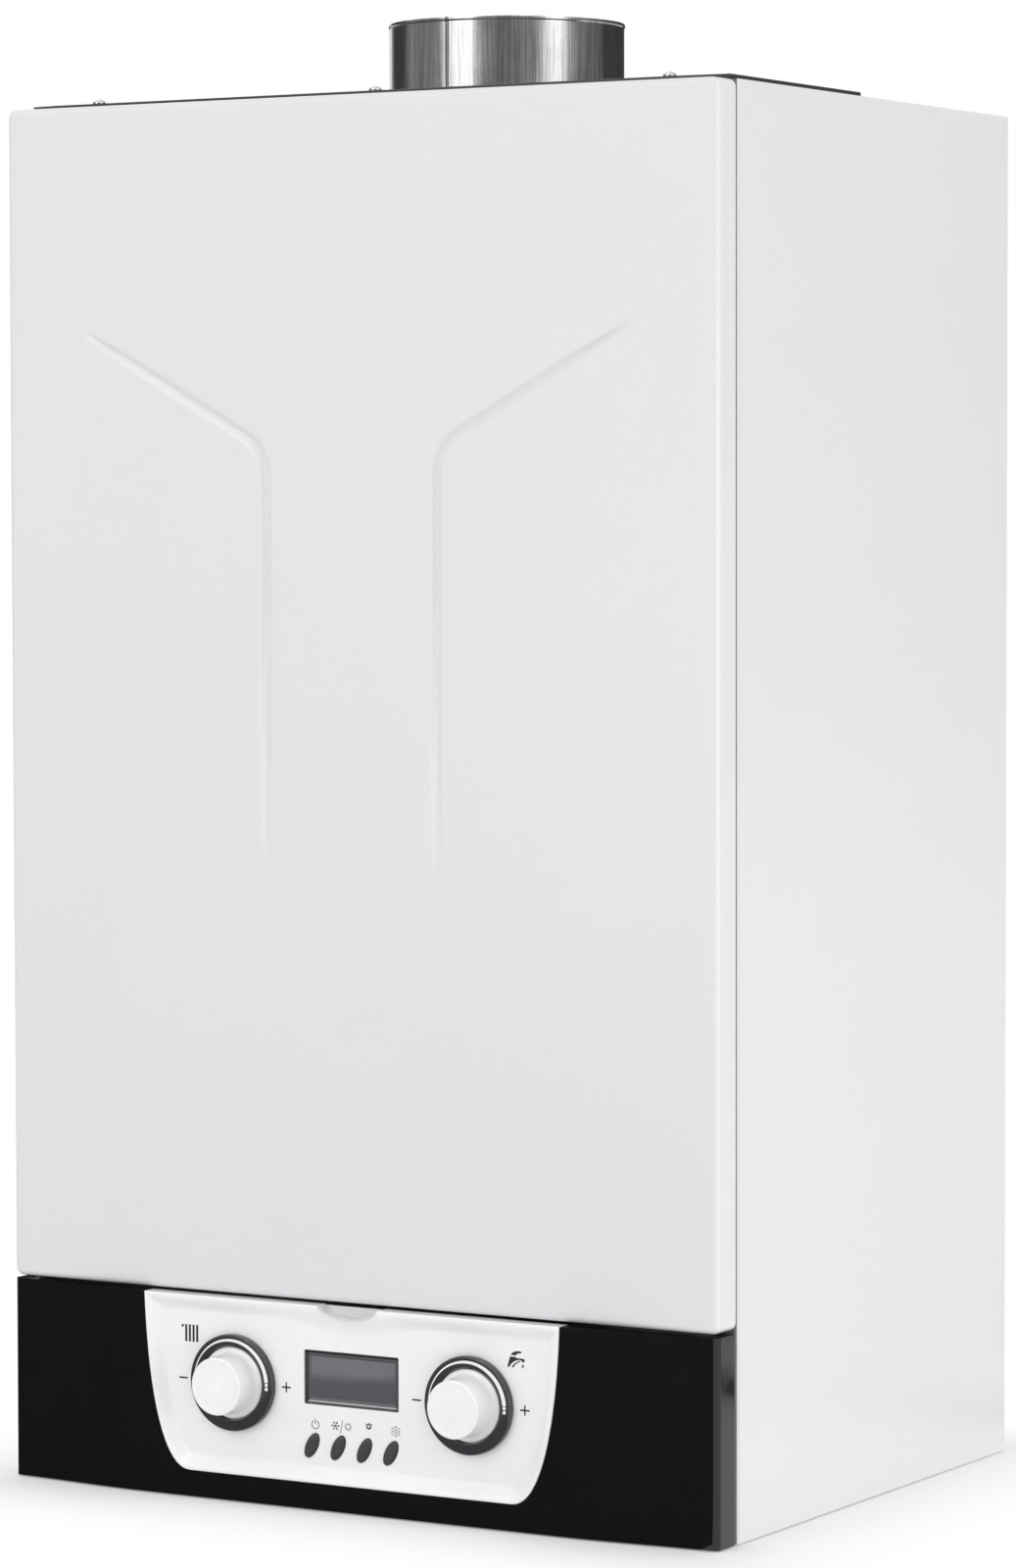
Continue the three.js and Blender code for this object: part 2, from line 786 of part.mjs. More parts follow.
const knobPlaces = [-knobX, knobX];
const buttonPlaces = [-1.5, -0.5, 0.5, 1.5].map((share) => share * buttonPitch);

// A leaning oval, the form of each button and of its hole
function buttonOval(x, grow, steps = smallSides) {
  const lean = Math.PI * buttonLeanShare;
  const points = [];
  for (let i = 0; i < steps; i += 1) {
    const angle = (i / steps) * 2 * Math.PI;
    const along = (buttonHalfLength + grow) * Math.sin(angle);
    const across = (buttonHalfWidth + grow) * Math.cos(angle);
    const dx = across * Math.cos(lean) + along * Math.sin(lean);
    const dz = -across * Math.sin(lean) + along * Math.cos(lean);
    points.push([x + dx, buttonZ + dz]);
  }
  return points;
}

// The half oval of the finger recess, open upwards
function fingerOval(wall, lift) {
  const steps = 14;
  const top = panelTopZ;
  const points = [];
  for (let i = 0; i <= steps; i += 1) {
    const angle = Math.PI + (i / steps) * Math.PI;
    points.push([(fingerHalf - wall) * Math.cos(angle), top + (fingerDrop - wall) * Math.sin(angle)]);
  }
  return lift ? [...points, [fingerHalf - wall, top + lift], [wall - fingerHalf, top + lift]] : points;
}

const windowPoints = (grow) => {
  const [w, h] = [windowWidth / 2 + grow, windowHeight / 2 + grow];
  return [[-w, windowZ - h], [w, windowZ - h], [w, windowZ + h], [-w, windowZ + h]];
};

function controlPanel() {
  const back = rimY + panelDepth;
  const body = run(outline(panelOutline()), rimY, back);
  const dish = panelDishBody();
  const pocket = run(outline(inset(panelOutline(), panelWall)), fieldY + panelWall, back + overrun);
  const through = [fieldY - overrun, fieldY + panelWall + overrun];
  const stems = knobPlaces.map((x) => rodY(knobStem + clear, x, knobZ, ...through, smallSides));
  const holes = buttonPlaces.map((x) => run(outline(buttonOval(x, clear)), ...through));
  const display = run(outline(windowPoints(clear)), ...through);
  const finger = run(outline(fingerOval(0, overrun)), rimY - overrun, back + overrun);
  return cut(body, [loft([dish.mouth, dish.floor]), pocket, ...stems, ...holes, display, finger]);
}

// The clear cup in the finger recess: open in front and above
function fingerCup() {
  const front = rimY + clear;
  const back = rimY + fingerDepth;
  const shell = run(outline(fingerOval(clear, 0)), front, back);
  const hollow = run(outline(fingerOval(clear + fingerWall, overrun)), front - overrun, back - fingerWall);
  return cut(shell, [hollow]);
}

// The fascia: a moulding open behind, swelling forwards between its two ends
function fasciaPlan(wall) {
  const steps = 8;
  const half = halfWidth - wall;
  const flat = panelTopHalf + panelLip;
  const points = [];
  for (let i = 0; i <= steps; i += 1) {
    const share = i / steps;
    const x = flat + share * (halfWidth - edgeRadius - flat);
    points.push([x, frontY - (fasciaSwell * (1 + Math.cos(Math.PI * share))) / 2 + wall]);
  }
  const edgeSteps = 4;
  for (let i = 1; i <= edgeSteps; i += 1) {
    const angle = (i / edgeSteps) * quarter;
    const radius = edgeRadius - wall;
    points.push([half - radius + radius * Math.sin(angle), frontY + wall + radius * (1 - Math.cos(angle))]);
  }
  points.push([half, frontY + returnDepth + (wall ? overrun : 0)]);
  const left = points.map(([x, y]) => [-x, y]).reverse();
  return [...left, ...points];
}

function fascia() {
  const body = raise(outline(fasciaPlan(0)), 0, fasciaTop);
  const hollow = raise(outline(fasciaPlan(fasciaWall)), fasciaWall, fasciaTop - fasciaWall);
  const back = rimY + panelDepth + clear;
  const opening = run(outline(panelOutline(clear)), rimY - overrun, back);
  const side = panelTopHalf + clear;
  const above = block(-side, side, rimY - overrun, back, panelTopZ, fasciaTop + overrun);
  const shell = cut(body, [hollow, opening, above]);
  const ears = [-1, 1].map((side) => {
    const x = side * hingeEarX;
    const [y0, z0] = [frontY + fasciaWall / 2, fasciaWall / 2];
    const round = hingePin + hingeEar;
    const plate = block(x - hingeEar / 2, x + hingeEar / 2, y0, deep(hingeY) + round, z0, hingeZ + round);
    return cut(plate, [rodX(hingePin + clear, deep(hingeY), hingeZ, x - hingeEar, x + hingeEar)]);
  });
  return join([shell, ...ears]);
}

// A hinge arm on each side: up from the pin, then back to the side of the casing
function hingeArm(side) {
  const half = hingePin + 2 * clear;
  const [y0, y1] = [deep(hingeY) - half, deep(hingeY) + half];
  const [z0, z1] = [hingeZ, hingeZ + hingeRise];
  const back = deep(sideSetback) + hingeFoot + sheet + clear;
  const inner = hingeEarX + hingeEar / 2 + clear;
  const shape = [[y0, z0], [y1, z0], [y1, z1 - half * 2], [back, z1 - half * 2], [back, z1], [y0, z1]];
  const xs = [side * inner, side * (inner + hingeEar)].sort((a, b) => a - b);
  const arm = span(outline(shape), ...xs);
  const eye = rodX(half, deep(hingeY), hingeZ, ...xs);
  const pinEnd = side * (hingeEarX - hingeEar / 2 - clear);
  const pins = [pinEnd, side * (inner + hingeEar / 2)].sort((a, b) => a - b);
  const pin = rodX(hingePin, deep(hingeY), hingeZ, ...pins);
  const footFront = deep(sideSetback) + sheet + clear;
  const skin = halfWidth - sheet - clear;
  const foot = block(side * inner, side * skin, footFront, back, z1 - half * 2, z1);
  return join([arm, eye, pin, foot]);
}

// A ring round each knob, seated on the panel's field
function knobRing(x) {
  const seat = fieldY - clear;
  const front = -ringRise;
  const profile = [
    [ringBore, 0],
    [ringBore, front + ringEdge],
    [ringBore + ringEdge, front],
    [ringRadius - ringEdge, front],
    [ringRadius - ringEdge * Math.sin(quarter / 3), front + ringEdge * (1 - Math.cos(quarter / 3))],
    [ringRadius, front + ringEdge],
    [ringRadius, 0],
    [ringBore, 0],
  ];
  return turnY(profile, x, seat, knobZ, fineSides);
}

// A knob: a skirt sweeping into a drum grip, a stem behind and a small pointer on the skirt
function knob(x) {
  const seat = fieldY - clear;
  const sweepSteps = 4;
  const sweepRadius = skirtRadius - gripRadius;
  const skirtFace = -skirtHeight;
  const profile = [[0, stemReach], [knobStem, stemReach], [knobStem, 0], [skirtRadius, 0]];
  profile.push([skirtRadius, skirtFace + skirtEdge], [skirtRadius - skirtEdge / 2, skirtFace]);
  for (let i = 1; i <= sweepSteps; i += 1) {
    const angle = (i / sweepSteps) * quarter;
    const out = (sweepRadius - skirtEdge / 2) * (1 - Math.sin(angle));
    profile.push([gripRadius + out, skirtFace - sweepRadius * (1 - Math.cos(angle))]);
  }
  const edgeSteps = 4;
  for (let i = 0; i <= edgeSteps; i += 1) {
    const angle = (i / edgeSteps) * quarter;
    const radius = gripRadius - gripTaper - gripEdge * (1 - Math.cos(angle));
    profile.push([radius, -knobReach + gripEdge * (1 - Math.sin(angle))]);
  }
  profile.push([0, -knobReach]);
  const body = turnY(profile, x, seat, knobZ, fineSides);
  const tip = x - skirtRadius + skirtEdge / 2;
  const pointer = block(
    tip,
    tip + pointerLength,
    seat + skirtFace - pointerRise,
    seat,
    knobZ - pointerWidth / 2,
    knobZ + pointerWidth / 2,
  );
  return join([body, pointer]);
}

// A push button: a leaning oval with a flange that keeps it behind the panel
function pushButton(x) {
  const seat = fieldY + panelWall + clear;
  const body = run(outline(buttonOval(x, 0)), fieldY - buttonRise, seat + buttonFlangeThick);
  return join([body, run(outline(buttonOval(x, buttonFlange)), seat, seat + buttonFlangeThick)]);
}

// The display's window: a plate with its face sunk behind a sloping frame
function displayWindow() {
  const front = fieldY + windowSink;
  const ring = (wall, y) => windowPoints(-wall).map(([x, z]) => [x, y, z]);
  const plate = run(outline(windowPoints(0)), front, front + windowThick);
  const sunk = loft([ring(-windowBevel, front - windowBevel), ring(windowBevel, front + windowBevel / 2)]);
  return cut(plate, [sunk]);
}

// The circuit board with its display, the two turning controls and the four switches
function circuitBoard() {
  const half = boxHalf - boxWall - clear;
  const inset = boxWall + clear;
  const board = block(-half, half, boardY, boardY + boardThick, boxFoot + inset, boxTop - inset);
  const windowBack = fieldY + windowSink + windowThick + clear;
  const [w, h] = [windowWidth / 2, windowHeight / 2];
  const display = block(-w, w, windowBack, boardY, windowZ - h, windowZ + h);
  const stemEnd = fieldY - clear + stemReach + clear;
  const turner = (x) => rodY(turnerRadius, x, knobZ, stemEnd, boardY + boardThick, smallSides);
  const turners = knobPlaces.map(turner);
  const pressed = fieldY + panelWall + clear + buttonFlangeThick + buttonTravel + clear;
  const tap = buttonHalfWidth;
  const switchBody = (x) => block(x - tap, x + tap, pressed, boardY, buttonZ - tap, buttonZ + tap);
  const taps = buttonPlaces.map(switchBody);
  return join([board, display, ...turners, ...taps]);
}

// The electronics box behind the board, open towards the panel
function controlBox() {
  const front = rimY + panelDepth + clear;
  const body = block(-boxHalf, boxHalf, front, deep(boxBack), boxFoot, boxTop);
  const inner = boxHalf - boxWall;
  const [foot, top] = [boxFoot + boxWall, boxTop - boxWall];
  const hollow = block(-inner, inner, front - overrun, deep(boxBack) - boxWall, foot, top);
  const ledge = boardY + boardThick + clear;
  const stops = [-1, 1].map((side) => {
    return block(side * inner, side * (inner - boardMargin), ledge, deep(boxBack) - boxWall, foot, top);
  });
  return join([cut(body, [hollow]), ...stops]);
}

function cableGland() {
  const y = deep(boxBack) + clear;
  const profile = [
    [0, 0],
    [glandRadius, 0],
    [glandRadius, glandLength / 2],
    [glandRadius - glandLip, glandLength / 2],
    [glandRadius - glandLip, glandLength],
    [glandBore, glandLength],
    [glandBore, glandLip],
    [0, glandLip],
  ];
  return turnY(profile, -boxHalf / 2, y, (boxFoot + boxTop) / 2, smallSides);
}

// A rectangle in plan as a ring of corners at one height
function planRing(half, depth, z) {
  const [y0, y1] = [flueY - depth / 2, flueY + depth / 2];
  return [[-half, y0, z], [half, y0, z], [half, y1, z], [-half, y1, z]];
}

const exchangerFoot = chamberTop + clear;
const exchangerTop = exchangerFoot + exchangerHeight;

// The draught hood: a tapering box over the heat exchanger, open at both ends and under the collar
function draughtHood() {
  const foot = exchangerTop + clear;
  const top = coverBase - flueDepth - clear;
  const half = exchangerHalf + headerThick;
  const outer = [planRing(half, hoodDepth, foot), planRing(half - hoodSpread, hoodDepth - hoodSpread, top)];
  const inner = [
    planRing(half - chamberWall, hoodDepth - 2 * chamberWall, foot - chamberWall),
    planRing(half - hoodSpread - chamberWall, hoodDepth - hoodSpread - 2 * chamberWall, top - chamberWall),
  ];
  const mouth = rodZ(flueRadius - flueWall, 0, flueY, top - chamberWall - overrun, top + overrun, fineSides);
  const slotFoot = foot + (top - foot) * hoodSlotShare;
  const slotTop = top - (top - foot) * hoodSlotShare;
  const slotHalf = hoodDepth * hoodSlotShare;
  const slot = block(-half - overrun, half + overrun, flueY - slotHalf, flueY + slotHalf, slotFoot, slotTop);
  return cut(loft(outer), [loft(inner), mouth, slot]);
}

// The combustion chamber: a sheet shell open in front, flanged inwards above and below
function combustionChamber() {
  const inner = chamberHalf - chamberLayers;
  const skin = chamberHalf - chamberWall;
  const [foot, top] = [chamberFoot + chamberWall, chamberTop - chamberWall];
  const shell = block(-chamberHalf, chamberHalf, chamberFront, chamberBack, chamberFoot, chamberTop);
  const room = block(-skin, skin, chamberFront - overrun, chamberBack - chamberWall, foot, top);
  const mouthFoot = chamberFoot - overrun;
  const mouthTop = chamberTop + overrun;
  const rear = chamberBack - chamberLayers;
  const mouth = block(-inner, inner, chamberFront - overrun, rear, mouthFoot, mouthTop);
  const ears = [];
  for (const side of [-1, 1]) {
    for (const share of [chamberEarRiseShare, 1 - chamberEarRiseShare / 2]) {
      const z = chamberFoot + (chamberTop - chamberFoot) * share;
      const face = side * (chamberHalf - chamberEar);
      const start = chamberBack - chamberWall;
      const ear = block(face, side * chamberHalf, start, plateFace - clear, z - chamberEarHeight, z);
      ears.push(ear);
    }
  }
  return join([cut(shell, [room, mouth]), ...ears]);
}

// The fibre boards that line the chamber's sides and back, between its flanges
function chamberBoards() {
  const outer = chamberHalf - chamberWall - clear;
  const inner = chamberHalf - chamberLayers;
  const [foot, top] = [chamberFoot + chamberWall + clear, chamberTop - chamberWall - clear];
  const boards = block(-outer, outer, chamberFront, chamberBack - chamberWall - clear, foot, top);
  const rear = chamberBack - chamberLayers;
  const room = block(-inner, inner, chamberFront - overrun, rear, foot - overrun, top + overrun);
  return cut(boards, [room]);
}

// The chamber's front cover: a sheet with two pressed ribs and a sight hole
function chamberCover() {
  const foot = chamberFoot + coverFoot;
  const face = chamberFront - clear - coverThick;
  const plate = block(-chamberHalf, chamberHalf, face, chamberFront - clear, foot, chamberTop);
  const ribs = [-1, 1].map((side) => {
    const z = (foot + chamberTop) / 2 + side * (chamberTop - foot) * coverRibShare;
    const half = chamberHalf - chamberLining;
    const points = roundedCorners(-half, half, z - chamberRib, z + chamberRib, chamberRib);
    return run(outline(points), face - coverThick, face + coverThick / 2);
  });
  const sight = rodY(sightRadius, 0, sightZ, face - overrun, chamberFront + overrun, roundSides);
  const through = [face - overrun, chamberFront + overrun];
  const probe = rodY(electrodeCeramic + clear, electrodeX, sightZ, ...through, smallSides);
  return cut(join([plate, ...ribs]), [sight, probe]);
}

function sightGlass() {
  const face = chamberFront - clear - coverThick;
  const profile = [
    [0, -sightThick],
    [sightRadius + sightThick, -sightThick],
    [sightRadius + sightThick, -clear],
    [sightRadius - clear, -clear],
    [sightRadius - clear, coverThick],
    [0, coverThick],
  ];
  return turnY(profile, 0, face, sightZ, roundSides);
}

// The spark electrode: a ceramic sleeve through the chamber cover, with its wire over the burner
function sparkElectrode() {
  const face = chamberFront - clear - coverThick;
  const profile = [
    [0, -electrodeReach / 2],
    [electrodeRadius, -electrodeReach / 2],
    [electrodeRadius, -electrodeReach / 3],
    [electrodeCeramic, -electrodeReach / 3],
    [electrodeCeramic, electrodeReach / 3],
    [electrodeRadius, electrodeReach / 3],
    [electrodeRadius, electrodeReach],
    [0, electrodeReach],
  ];
  return turnY(profile, electrodeX, face, sightZ, smallSides);
}

// The burner: a frame bridged by hollow blades with crowned tops
function burner() {
  const half = chamberHalf - chamberLayers - clear;
  const front = chamberFront + burnerRise;
  const back = front + burnerDepth;
  const foot = chamberFoot + burnerRise;
  const frame = block(-half, half, front, back, foot, foot + burnerHeight / 3);
  const depth = [front + burnerFrame, back - burnerFrame];
  const opening = block(-burnerHalf, burnerHalf, ...depth, foot - overrun, foot + burnerHeight);
  const pitch = (2 * burnerHalf) / burnerBlades;
  const top = foot + burnerHeight;
  const blades = [];
  const hollows = [];
  for (let i = 0; i < burnerBlades; i += 1) {
    const x = -burnerHalf + (i + 0.5) * pitch;
    const side = burnerBladeWidth / 2;
    const shape = [
      [x - side, foot],
      [x + side, foot],
      [x + side, top - burnerCrown],
      [x + side - burnerCrown, top],
      [x - side + burnerCrown, top],
      [x - side, top - burnerCrown],
    ];
    blades.push(run(outline(shape), front, back));
    const hollowTop = top - burnerCrown - burnerSkin;
    const inner = side - burnerSkin;
    const room = [front + burnerSkin, back - burnerSkin];
    hollows.push(block(x - inner, x + inner, ...room, foot - overrun, hollowTop));
  }
  return cut(join([cut(frame, [opening]), ...blades]), hollows);
}

// The gas bar in front of the burner, with a nozzle to each blade
function gasBar() {
  const nozzleEnd = chamberFront + burnerRise - clear;
  const back = nozzleEnd - nozzleLength;
  const z = chamberFoot + burnerRise + burnerHeight / 2;
  const half = burnerHalf + manifoldSide / 2;
  const bar = block(-half, half, back - manifoldSide, back, z - manifoldSide / 2, z + manifoldSide / 2);
  const pitch = (2 * burnerHalf) / burnerBlades;
  const nozzles = [];
  for (let i = 0; i < burnerBlades; i += 1) {
    const x = -burnerHalf + (i + 0.5) * pitch;
    nozzles.push(rodY(nozzleRadius, x, z, back - overrun, nozzleEnd, 8));
  }
  return join([bar, ...nozzles]);
}

// The primary heat exchanger: fins on a tube bank between two headers, with return bends outside
function heatExchanger() {
  const [front, back] = [flueY - exchangerDepth / 2, flueY + exchangerDepth / 2];
  const [foot, top] = [exchangerFoot, exchangerTop];
  const header = (side) => {
    return block(side * exchangerHalf, side * (exchangerHalf + headerThick), front, back, foot, top);
  };
  const rise = exchangerHeight * bankShare;
  const set = exchangerDepth * bankShare;
  const bank = block(-exchangerHalf, exchangerHalf, front + set, back - set, foot + rise, top - rise);
  const pitch = (2 * exchangerHalf) / (finCount + 1);
  const fins = [];
  for (let i = 1; i <= finCount; i += 1) {
    const x = -exchangerHalf + i * pitch;
    fins.push(block(x - finThick / 2, x + finThick / 2, front, back, foot, top - exchangerDrop));
  }
  const tubePitch = exchangerDepth / tubeRows;
  const bends = [];
  for (let i = 0; i + 1 < tubeRows; i += 1) {
    const side = i % 2 ? 1 : -1;
    const y = front + (i + 1) * tubePitch;
    const x = side * (exchangerHalf + headerThick / 2);
    const reach = tubePitch / 2 + tubeRadius;
    const level = foot + rise;
    const points = roundedCorners(y - reach, y + reach, level, level + 2 * tubeRadius, tubeRadius, 2);
    const ends = [x, x + side * elbowReach].sort((a, b) => a - b);
    bends.push(span(outline(points), ...ends));
  }
  const ports = [-1, 1].map((side) => {
    const reach = side * (pipeX + pipeRadius);
    const z = [portZ - pipeRadius - clear, portZ + pipeRadius + clear];
    return block(side * exchangerHalf, reach, flueY + portShift - portDepth, flueY + portShift, ...z);
  });
  return join([header(-1), header(1), bank, ...fins, ...bends, ...ports]);
}

// The expansion vessel: two domed shells with a clenched seam, and its port below
function expansionVessel() {
  const back = plateFace - clear;
  const dome = vesselRadius * vesselDomeShare;
  const edge = vesselThick / 2;
  const profile = [
    [0, -vesselThick],
    [dome, -vesselThick + vesselSeam],
    [vesselRadius - vesselSeam, -edge - vesselSeam],
    [vesselRadius, -edge - vesselSeam / 2],
    [vesselRadius, -edge + vesselSeam / 2],
    [vesselRadius - vesselSeam, -edge + vesselSeam],
    [dome, -vesselSeam],
    [0, 0],
  ];
  const body = turnY(profile, 0, back, vesselZ, fineSides);
  const foot = vesselZ - vesselRadius;
  const y = back - edge;
  const port = rodZ(thinPipeRadius + vesselSeam, 0, y, foot - vesselSeam, foot + overrun * 2, smallSides);
  const inside = [
    [0, -vesselThick + vesselWall],
    [dome, -vesselThick + vesselSeam + vesselWall],
    [vesselRadius - 2 * vesselSeam, -edge],
    [dome, -vesselSeam - vesselWall],
    [0, -vesselWall],
  ];
  const room = turnY(inside, 0, back, vesselZ, fineSides);
  const bore = rodZ(vesselBore, 0, y, foot - vesselSeam - overrun, foot + 4 * vesselSeam, smallSides);
  return cut(join([body, port]), [room, bore]);
}

// The flue thermostat on the hood's front
function flueThermostat() {
  const foot = exchangerTop + clear;
  const top = coverBase - flueDepth - clear;
  const z = top - thermostatRadius - chamberWall;
  const share = (z - thermostatRadius - foot) / (top - foot);
  const wall = flueY - hoodDepth / 2 + (share * hoodSpread) / 2;
  const profile = [
    [0, -thermostatThick],
    [thermostatRadius / 2, -thermostatThick],
    [thermostatRadius / 2, -thermostatThick / 2],
    [thermostatRadius, -thermostatThick / 2],
    [thermostatRadius, 0],
    [0, 0],
  ];
  return turnY(profile, electrodeX, wall - clear, z, smallSides);
}

const tailTop = railZ + railThick + clear + tailNutHeight;

// The bottom rail that the connections pass through, lipped in front and fixed to the back plate
function bottomRail() {
  const back = plateFace - clear;
  const front = back - railDepth;
  const top = railZ + railThick;
  const plate = block(-railHalf, railHalf, front, back, railZ, top);
  const lip = block(-railHalf, railHalf, front, front + railThick, railZ - railLip, top);
  const rear = block(-railHalf, railHalf, back - railThick, back, railZ, top + railLip);
  const hole = (x) => rodZ(tailRadius + clear, x, tailPlace, railZ - overrun, top + overrun, smallSides);
  const stem = rodZ(fillStem + clear, fillX, tailPlace, railZ - overrun, top + overrun, smallSides);
  return cut(join([plate, lip, rear]), [...[-2, -1, 0, 1, 2].map((n) => hole(n * tailSpacing)), stem]);
}

// A connection: a bored tail through the rail, with its union nut above
function connection(place, top) {
  const x = place * tailSpacing;
  const foot = railZ + railThick + clear;
  const tail = rodZ(tailRadius, x, tailPlace, tailFoot, top, smallSides);
  const nut = rodZ(tailNutRadius, x, tailPlace, foot, foot + tailNutHeight, 6);
  const bore = rodZ(tailBore, x, tailPlace, tailFoot - overrun, top + overrun, smallSides);
  return cut(join([tail, nut]), [bore]);
}

// The gas valve: a cast body with two solenoid coils on top and an outlet boss in front
function gasValve() {
  const y0 = tailPlace - valveDepth / 2;
  const y1 = tailPlace + valveDepth / 2;
  const points = roundedCorners(-valveHalf, valveHalf, valveFoot, valveFoot + valveHeight, valveEdge);
  const body = run(outline(points), y0, y1);
  const top = valveFoot + valveHeight;
  const coils = [-1, 1].map((side) => {
    const y = tailPlace + (side * coilSpacing) / 2;
    const profile = [
      [0, top - valveEdge],
      [coilRadius, top - valveEdge],
      [coilRadius, top + coilHeight - valveEdge],
      [coilRadius - valveEdge, top + coilHeight],
      [0, top + coilHeight],
    ];
    return turnZ(profile, 0, y, 0, smallSides);
  });
  const boss = rodY(gasPipeRadius + valveEdge, 0, valveOutletZ, y0 - valveEdge, y0 + valveEdge, smallSides);
  return join([body, ...coils, boss]);
}

function gasPipe() {
  const start = tailPlace - valveDepth / 2 - valveEdge - clear;
  const barBack = chamberFront + burnerRise - clear - nozzleLength;
  const y = barBack - manifoldSide / 2;
  const end = chamberFoot + burnerRise + burnerHeight / 2 - manifoldSide / 2 - clear;
  return pipe([[0, start, valveOutletZ], [0, y, valveOutletZ], [0, y, end]], gasPipeRadius, 18);
}

// A brass block on each side: a cross passage over two connections, an upright and an arm in front
function waterBlock(side, top, reach) {
  const x = side * 2 * tailSpacing;
  const [y0, y1] = [tailPlace - blockDepth / 2, tailPlace + blockDepth / 2];
  const near = side * (tailSpacing - blockBore);
  const passage = block(near, x + side * blockHalf, y0, y1, blockFoot, blockFoot + blockHalf);
  const upright = block(x - blockHalf, x + blockHalf, y0, y1, blockFoot, top);
  const armFoot = blockFoot + clear;
  const armX = [side * (plateHalf - blockHalf - blockBore), side * (plateHalf - blockBore)];
  const seat = deep(plateY) + platePitch * (plateCount - 1) + plateThick + clear;
  const arm = block(...armX, seat, y0 + overrun, armFoot, blockFoot + blockHalf);
  const port = block(x, side * (pipeX + reach), tailPlace - reach, tailPlace + reach, top - blockHalf, top);
  return { passage, upright, arm, port };
}

function flowBlock() {
  const reach = pipeRadius + clear;
  const { passage, upright, arm, port } = waterBlock(-1, flowTop, reach);
  return join([passage, upright, arm, port]);
}

// The return side also carries the filling valve's body and the safety valve's seat
function returnBlock() {
  const { passage, upright, arm } = waterBlock(1, returnTop, pipeRadius);
  const fill = rodZ(blockBore, fillX, tailPlace, railZ + railThick + clear, blockFoot + clear, smallSides);
  const y0 = tailPlace - blockDepth / 2;
  const reach = [y0 - blockBore / 2, y0 + overrun];
  const seat = rodY(reliefRadius - clear, 2 * tailSpacing, reliefZ, ...reach, smallSides);
  return join([passage, upright, arm, fill, seat]);
}

// The plate heat exchanger: a stack of thin plates on a solid middle
function plateExchanger() {
  const front = deep(plateY);
  const points = (grow) => {
    const half = plateHalf + grow;
    const top = blockFoot + plateHeight + grow;
    return roundedCorners(-half, half, blockFoot - grow, top, plateEdge, 2);
  };
  const plates = [];
  for (let i = 0; i < plateCount; i += 1) {
    const y = front + i * platePitch;
    plates.push(run(outline(points(0)), y, y + plateThick));
  }
  const core = run(outline(points(-plateThick)), front, front + (plateCount - 1) * platePitch + plateThick);
  return join([...plates, core]);
}

// The pump: a volute over the return block, with a finned motor in front
function pump() {
  const x = 2 * tailSpacing;
  const [y0, y1] = [tailPlace - pumpVolute / 2, tailPlace + pumpVolute / 2];
  const volute = rodY(pumpRadius, x, pumpZ, y0, y1, roundSides);
  const neck = block(x - blockBore, x + blockBore, y0, y1, returnTop + clear, pumpZ);
  const motorRadius = pumpRadius - pumpFinDepth * 2;
  const profile = [
    [0, y0 - pumpMotor],
    [motorRadius * motorCapShare, y0 - pumpMotor],
    [motorRadius * motorCapShare, y0 - pumpMotor + pumpFinDepth],
    [motorRadius, y0 - pumpMotor + pumpFinDepth * 2],
    [motorRadius, y0 + overrun],
    [0, y0 + overrun],
  ];
  const motor = turnY(profile, x, 0, pumpZ, roundSides);
  const fins = [];
  for (let i = 0; i < pumpFins; i += 1) {
    const angle = (i / pumpFins) * 2 * Math.PI;
    const reach = motorRadius + pumpFinDepth;
    const half = pumpFinDepth / 2;
    const shape = [[0, -half], [reach, -half], [reach, half], [0, half]];
    const turned = shape.map(([a, b]) => {
      const across = a * Math.cos(angle) - b * Math.sin(angle);
      return [x + across, pumpZ + a * Math.sin(angle) + b * Math.cos(angle)];
    });
    fins.push(run(outline(turned), y0 - pumpMotor + pumpFinDepth * 2, y0 + overrun));
  }
  const top = pumpZ + pumpRadius + pumpFinDepth;
  const vent = rodZ(ventSeat, ventX, tailPlace, pumpZ, top, smallSides);
  const outlet = rodZ(pipeRadius + pumpFinDepth, pipeX, tailPlace, pumpZ, top, smallSides);
  return join([volute, neck, motor, ...fins, vent, outlet]);
}

const pumpTop = pumpZ + pumpRadius + pumpFinDepth;

function airVent() {
  const profile = [
    [0, 0],
    [ventSeat, 0],
    [ventSeat, ventHeight * ventNeckShare],
    [ventRadius, ventHeight * ventNeckShare],
    [ventRadius, ventHeight - ventSeat],
    [ventSeat, ventHeight - ventSeat],
    [ventSeat, ventHeight],
    [0, ventHeight],
  ];
  return turnZ(profile, ventX, tailPlace, pumpTop + clear, smallSides);
}

// The pipes between the water blocks and the heat exchanger
function risingPipe(side, foot) {
  const x = side * pipeX;
  const end = flueY + portShift + clear;
  return pipe([[x, tailPlace, foot], [x, tailPlace, portZ], [x, end, portZ]], pipeRadius, 26);
}

function vesselPipe() {
  const y = plateFace - clear - vesselThick / 2;
  const top = vesselZ - vesselRadius - vesselSeam - clear;
  const z = (top + valveFoot + valveHeight + coilHeight) / 2;
  const x = tailSpacing + thinPipeRadius;
  const front = tailPlace + blockDepth / 4;
  const foot = blockFoot + blockHalf + clear;
  const bend = thinPipeRadius * 3;
  return pipe([[0, y, top], [0, y, z], [x, front, z], [x, front, foot]], thinPipeRadius, 26, bend);
}

// The drive of the diverter valve, on the front of the flow block
function diverterDrive() {
  const x = -2 * tailSpacing;
  const back = tailPlace - blockDepth / 2 - clear;
  const z = blockFoot + blockHalf + motorHeight / 2 + pipeRadius;
  const high = motorHeight / 2;
  const points = roundedCorners(x - motorHalf, x + motorHalf, z - high, z + high, motorEdge);
  const body = run(outline(points), back - motorDepth, back - motorEdge);
  const collar = rodY(motorHalf - motorEdge, x, z, back - motorDepth / 2, back, roundSides);
  return join([body, collar]);
}

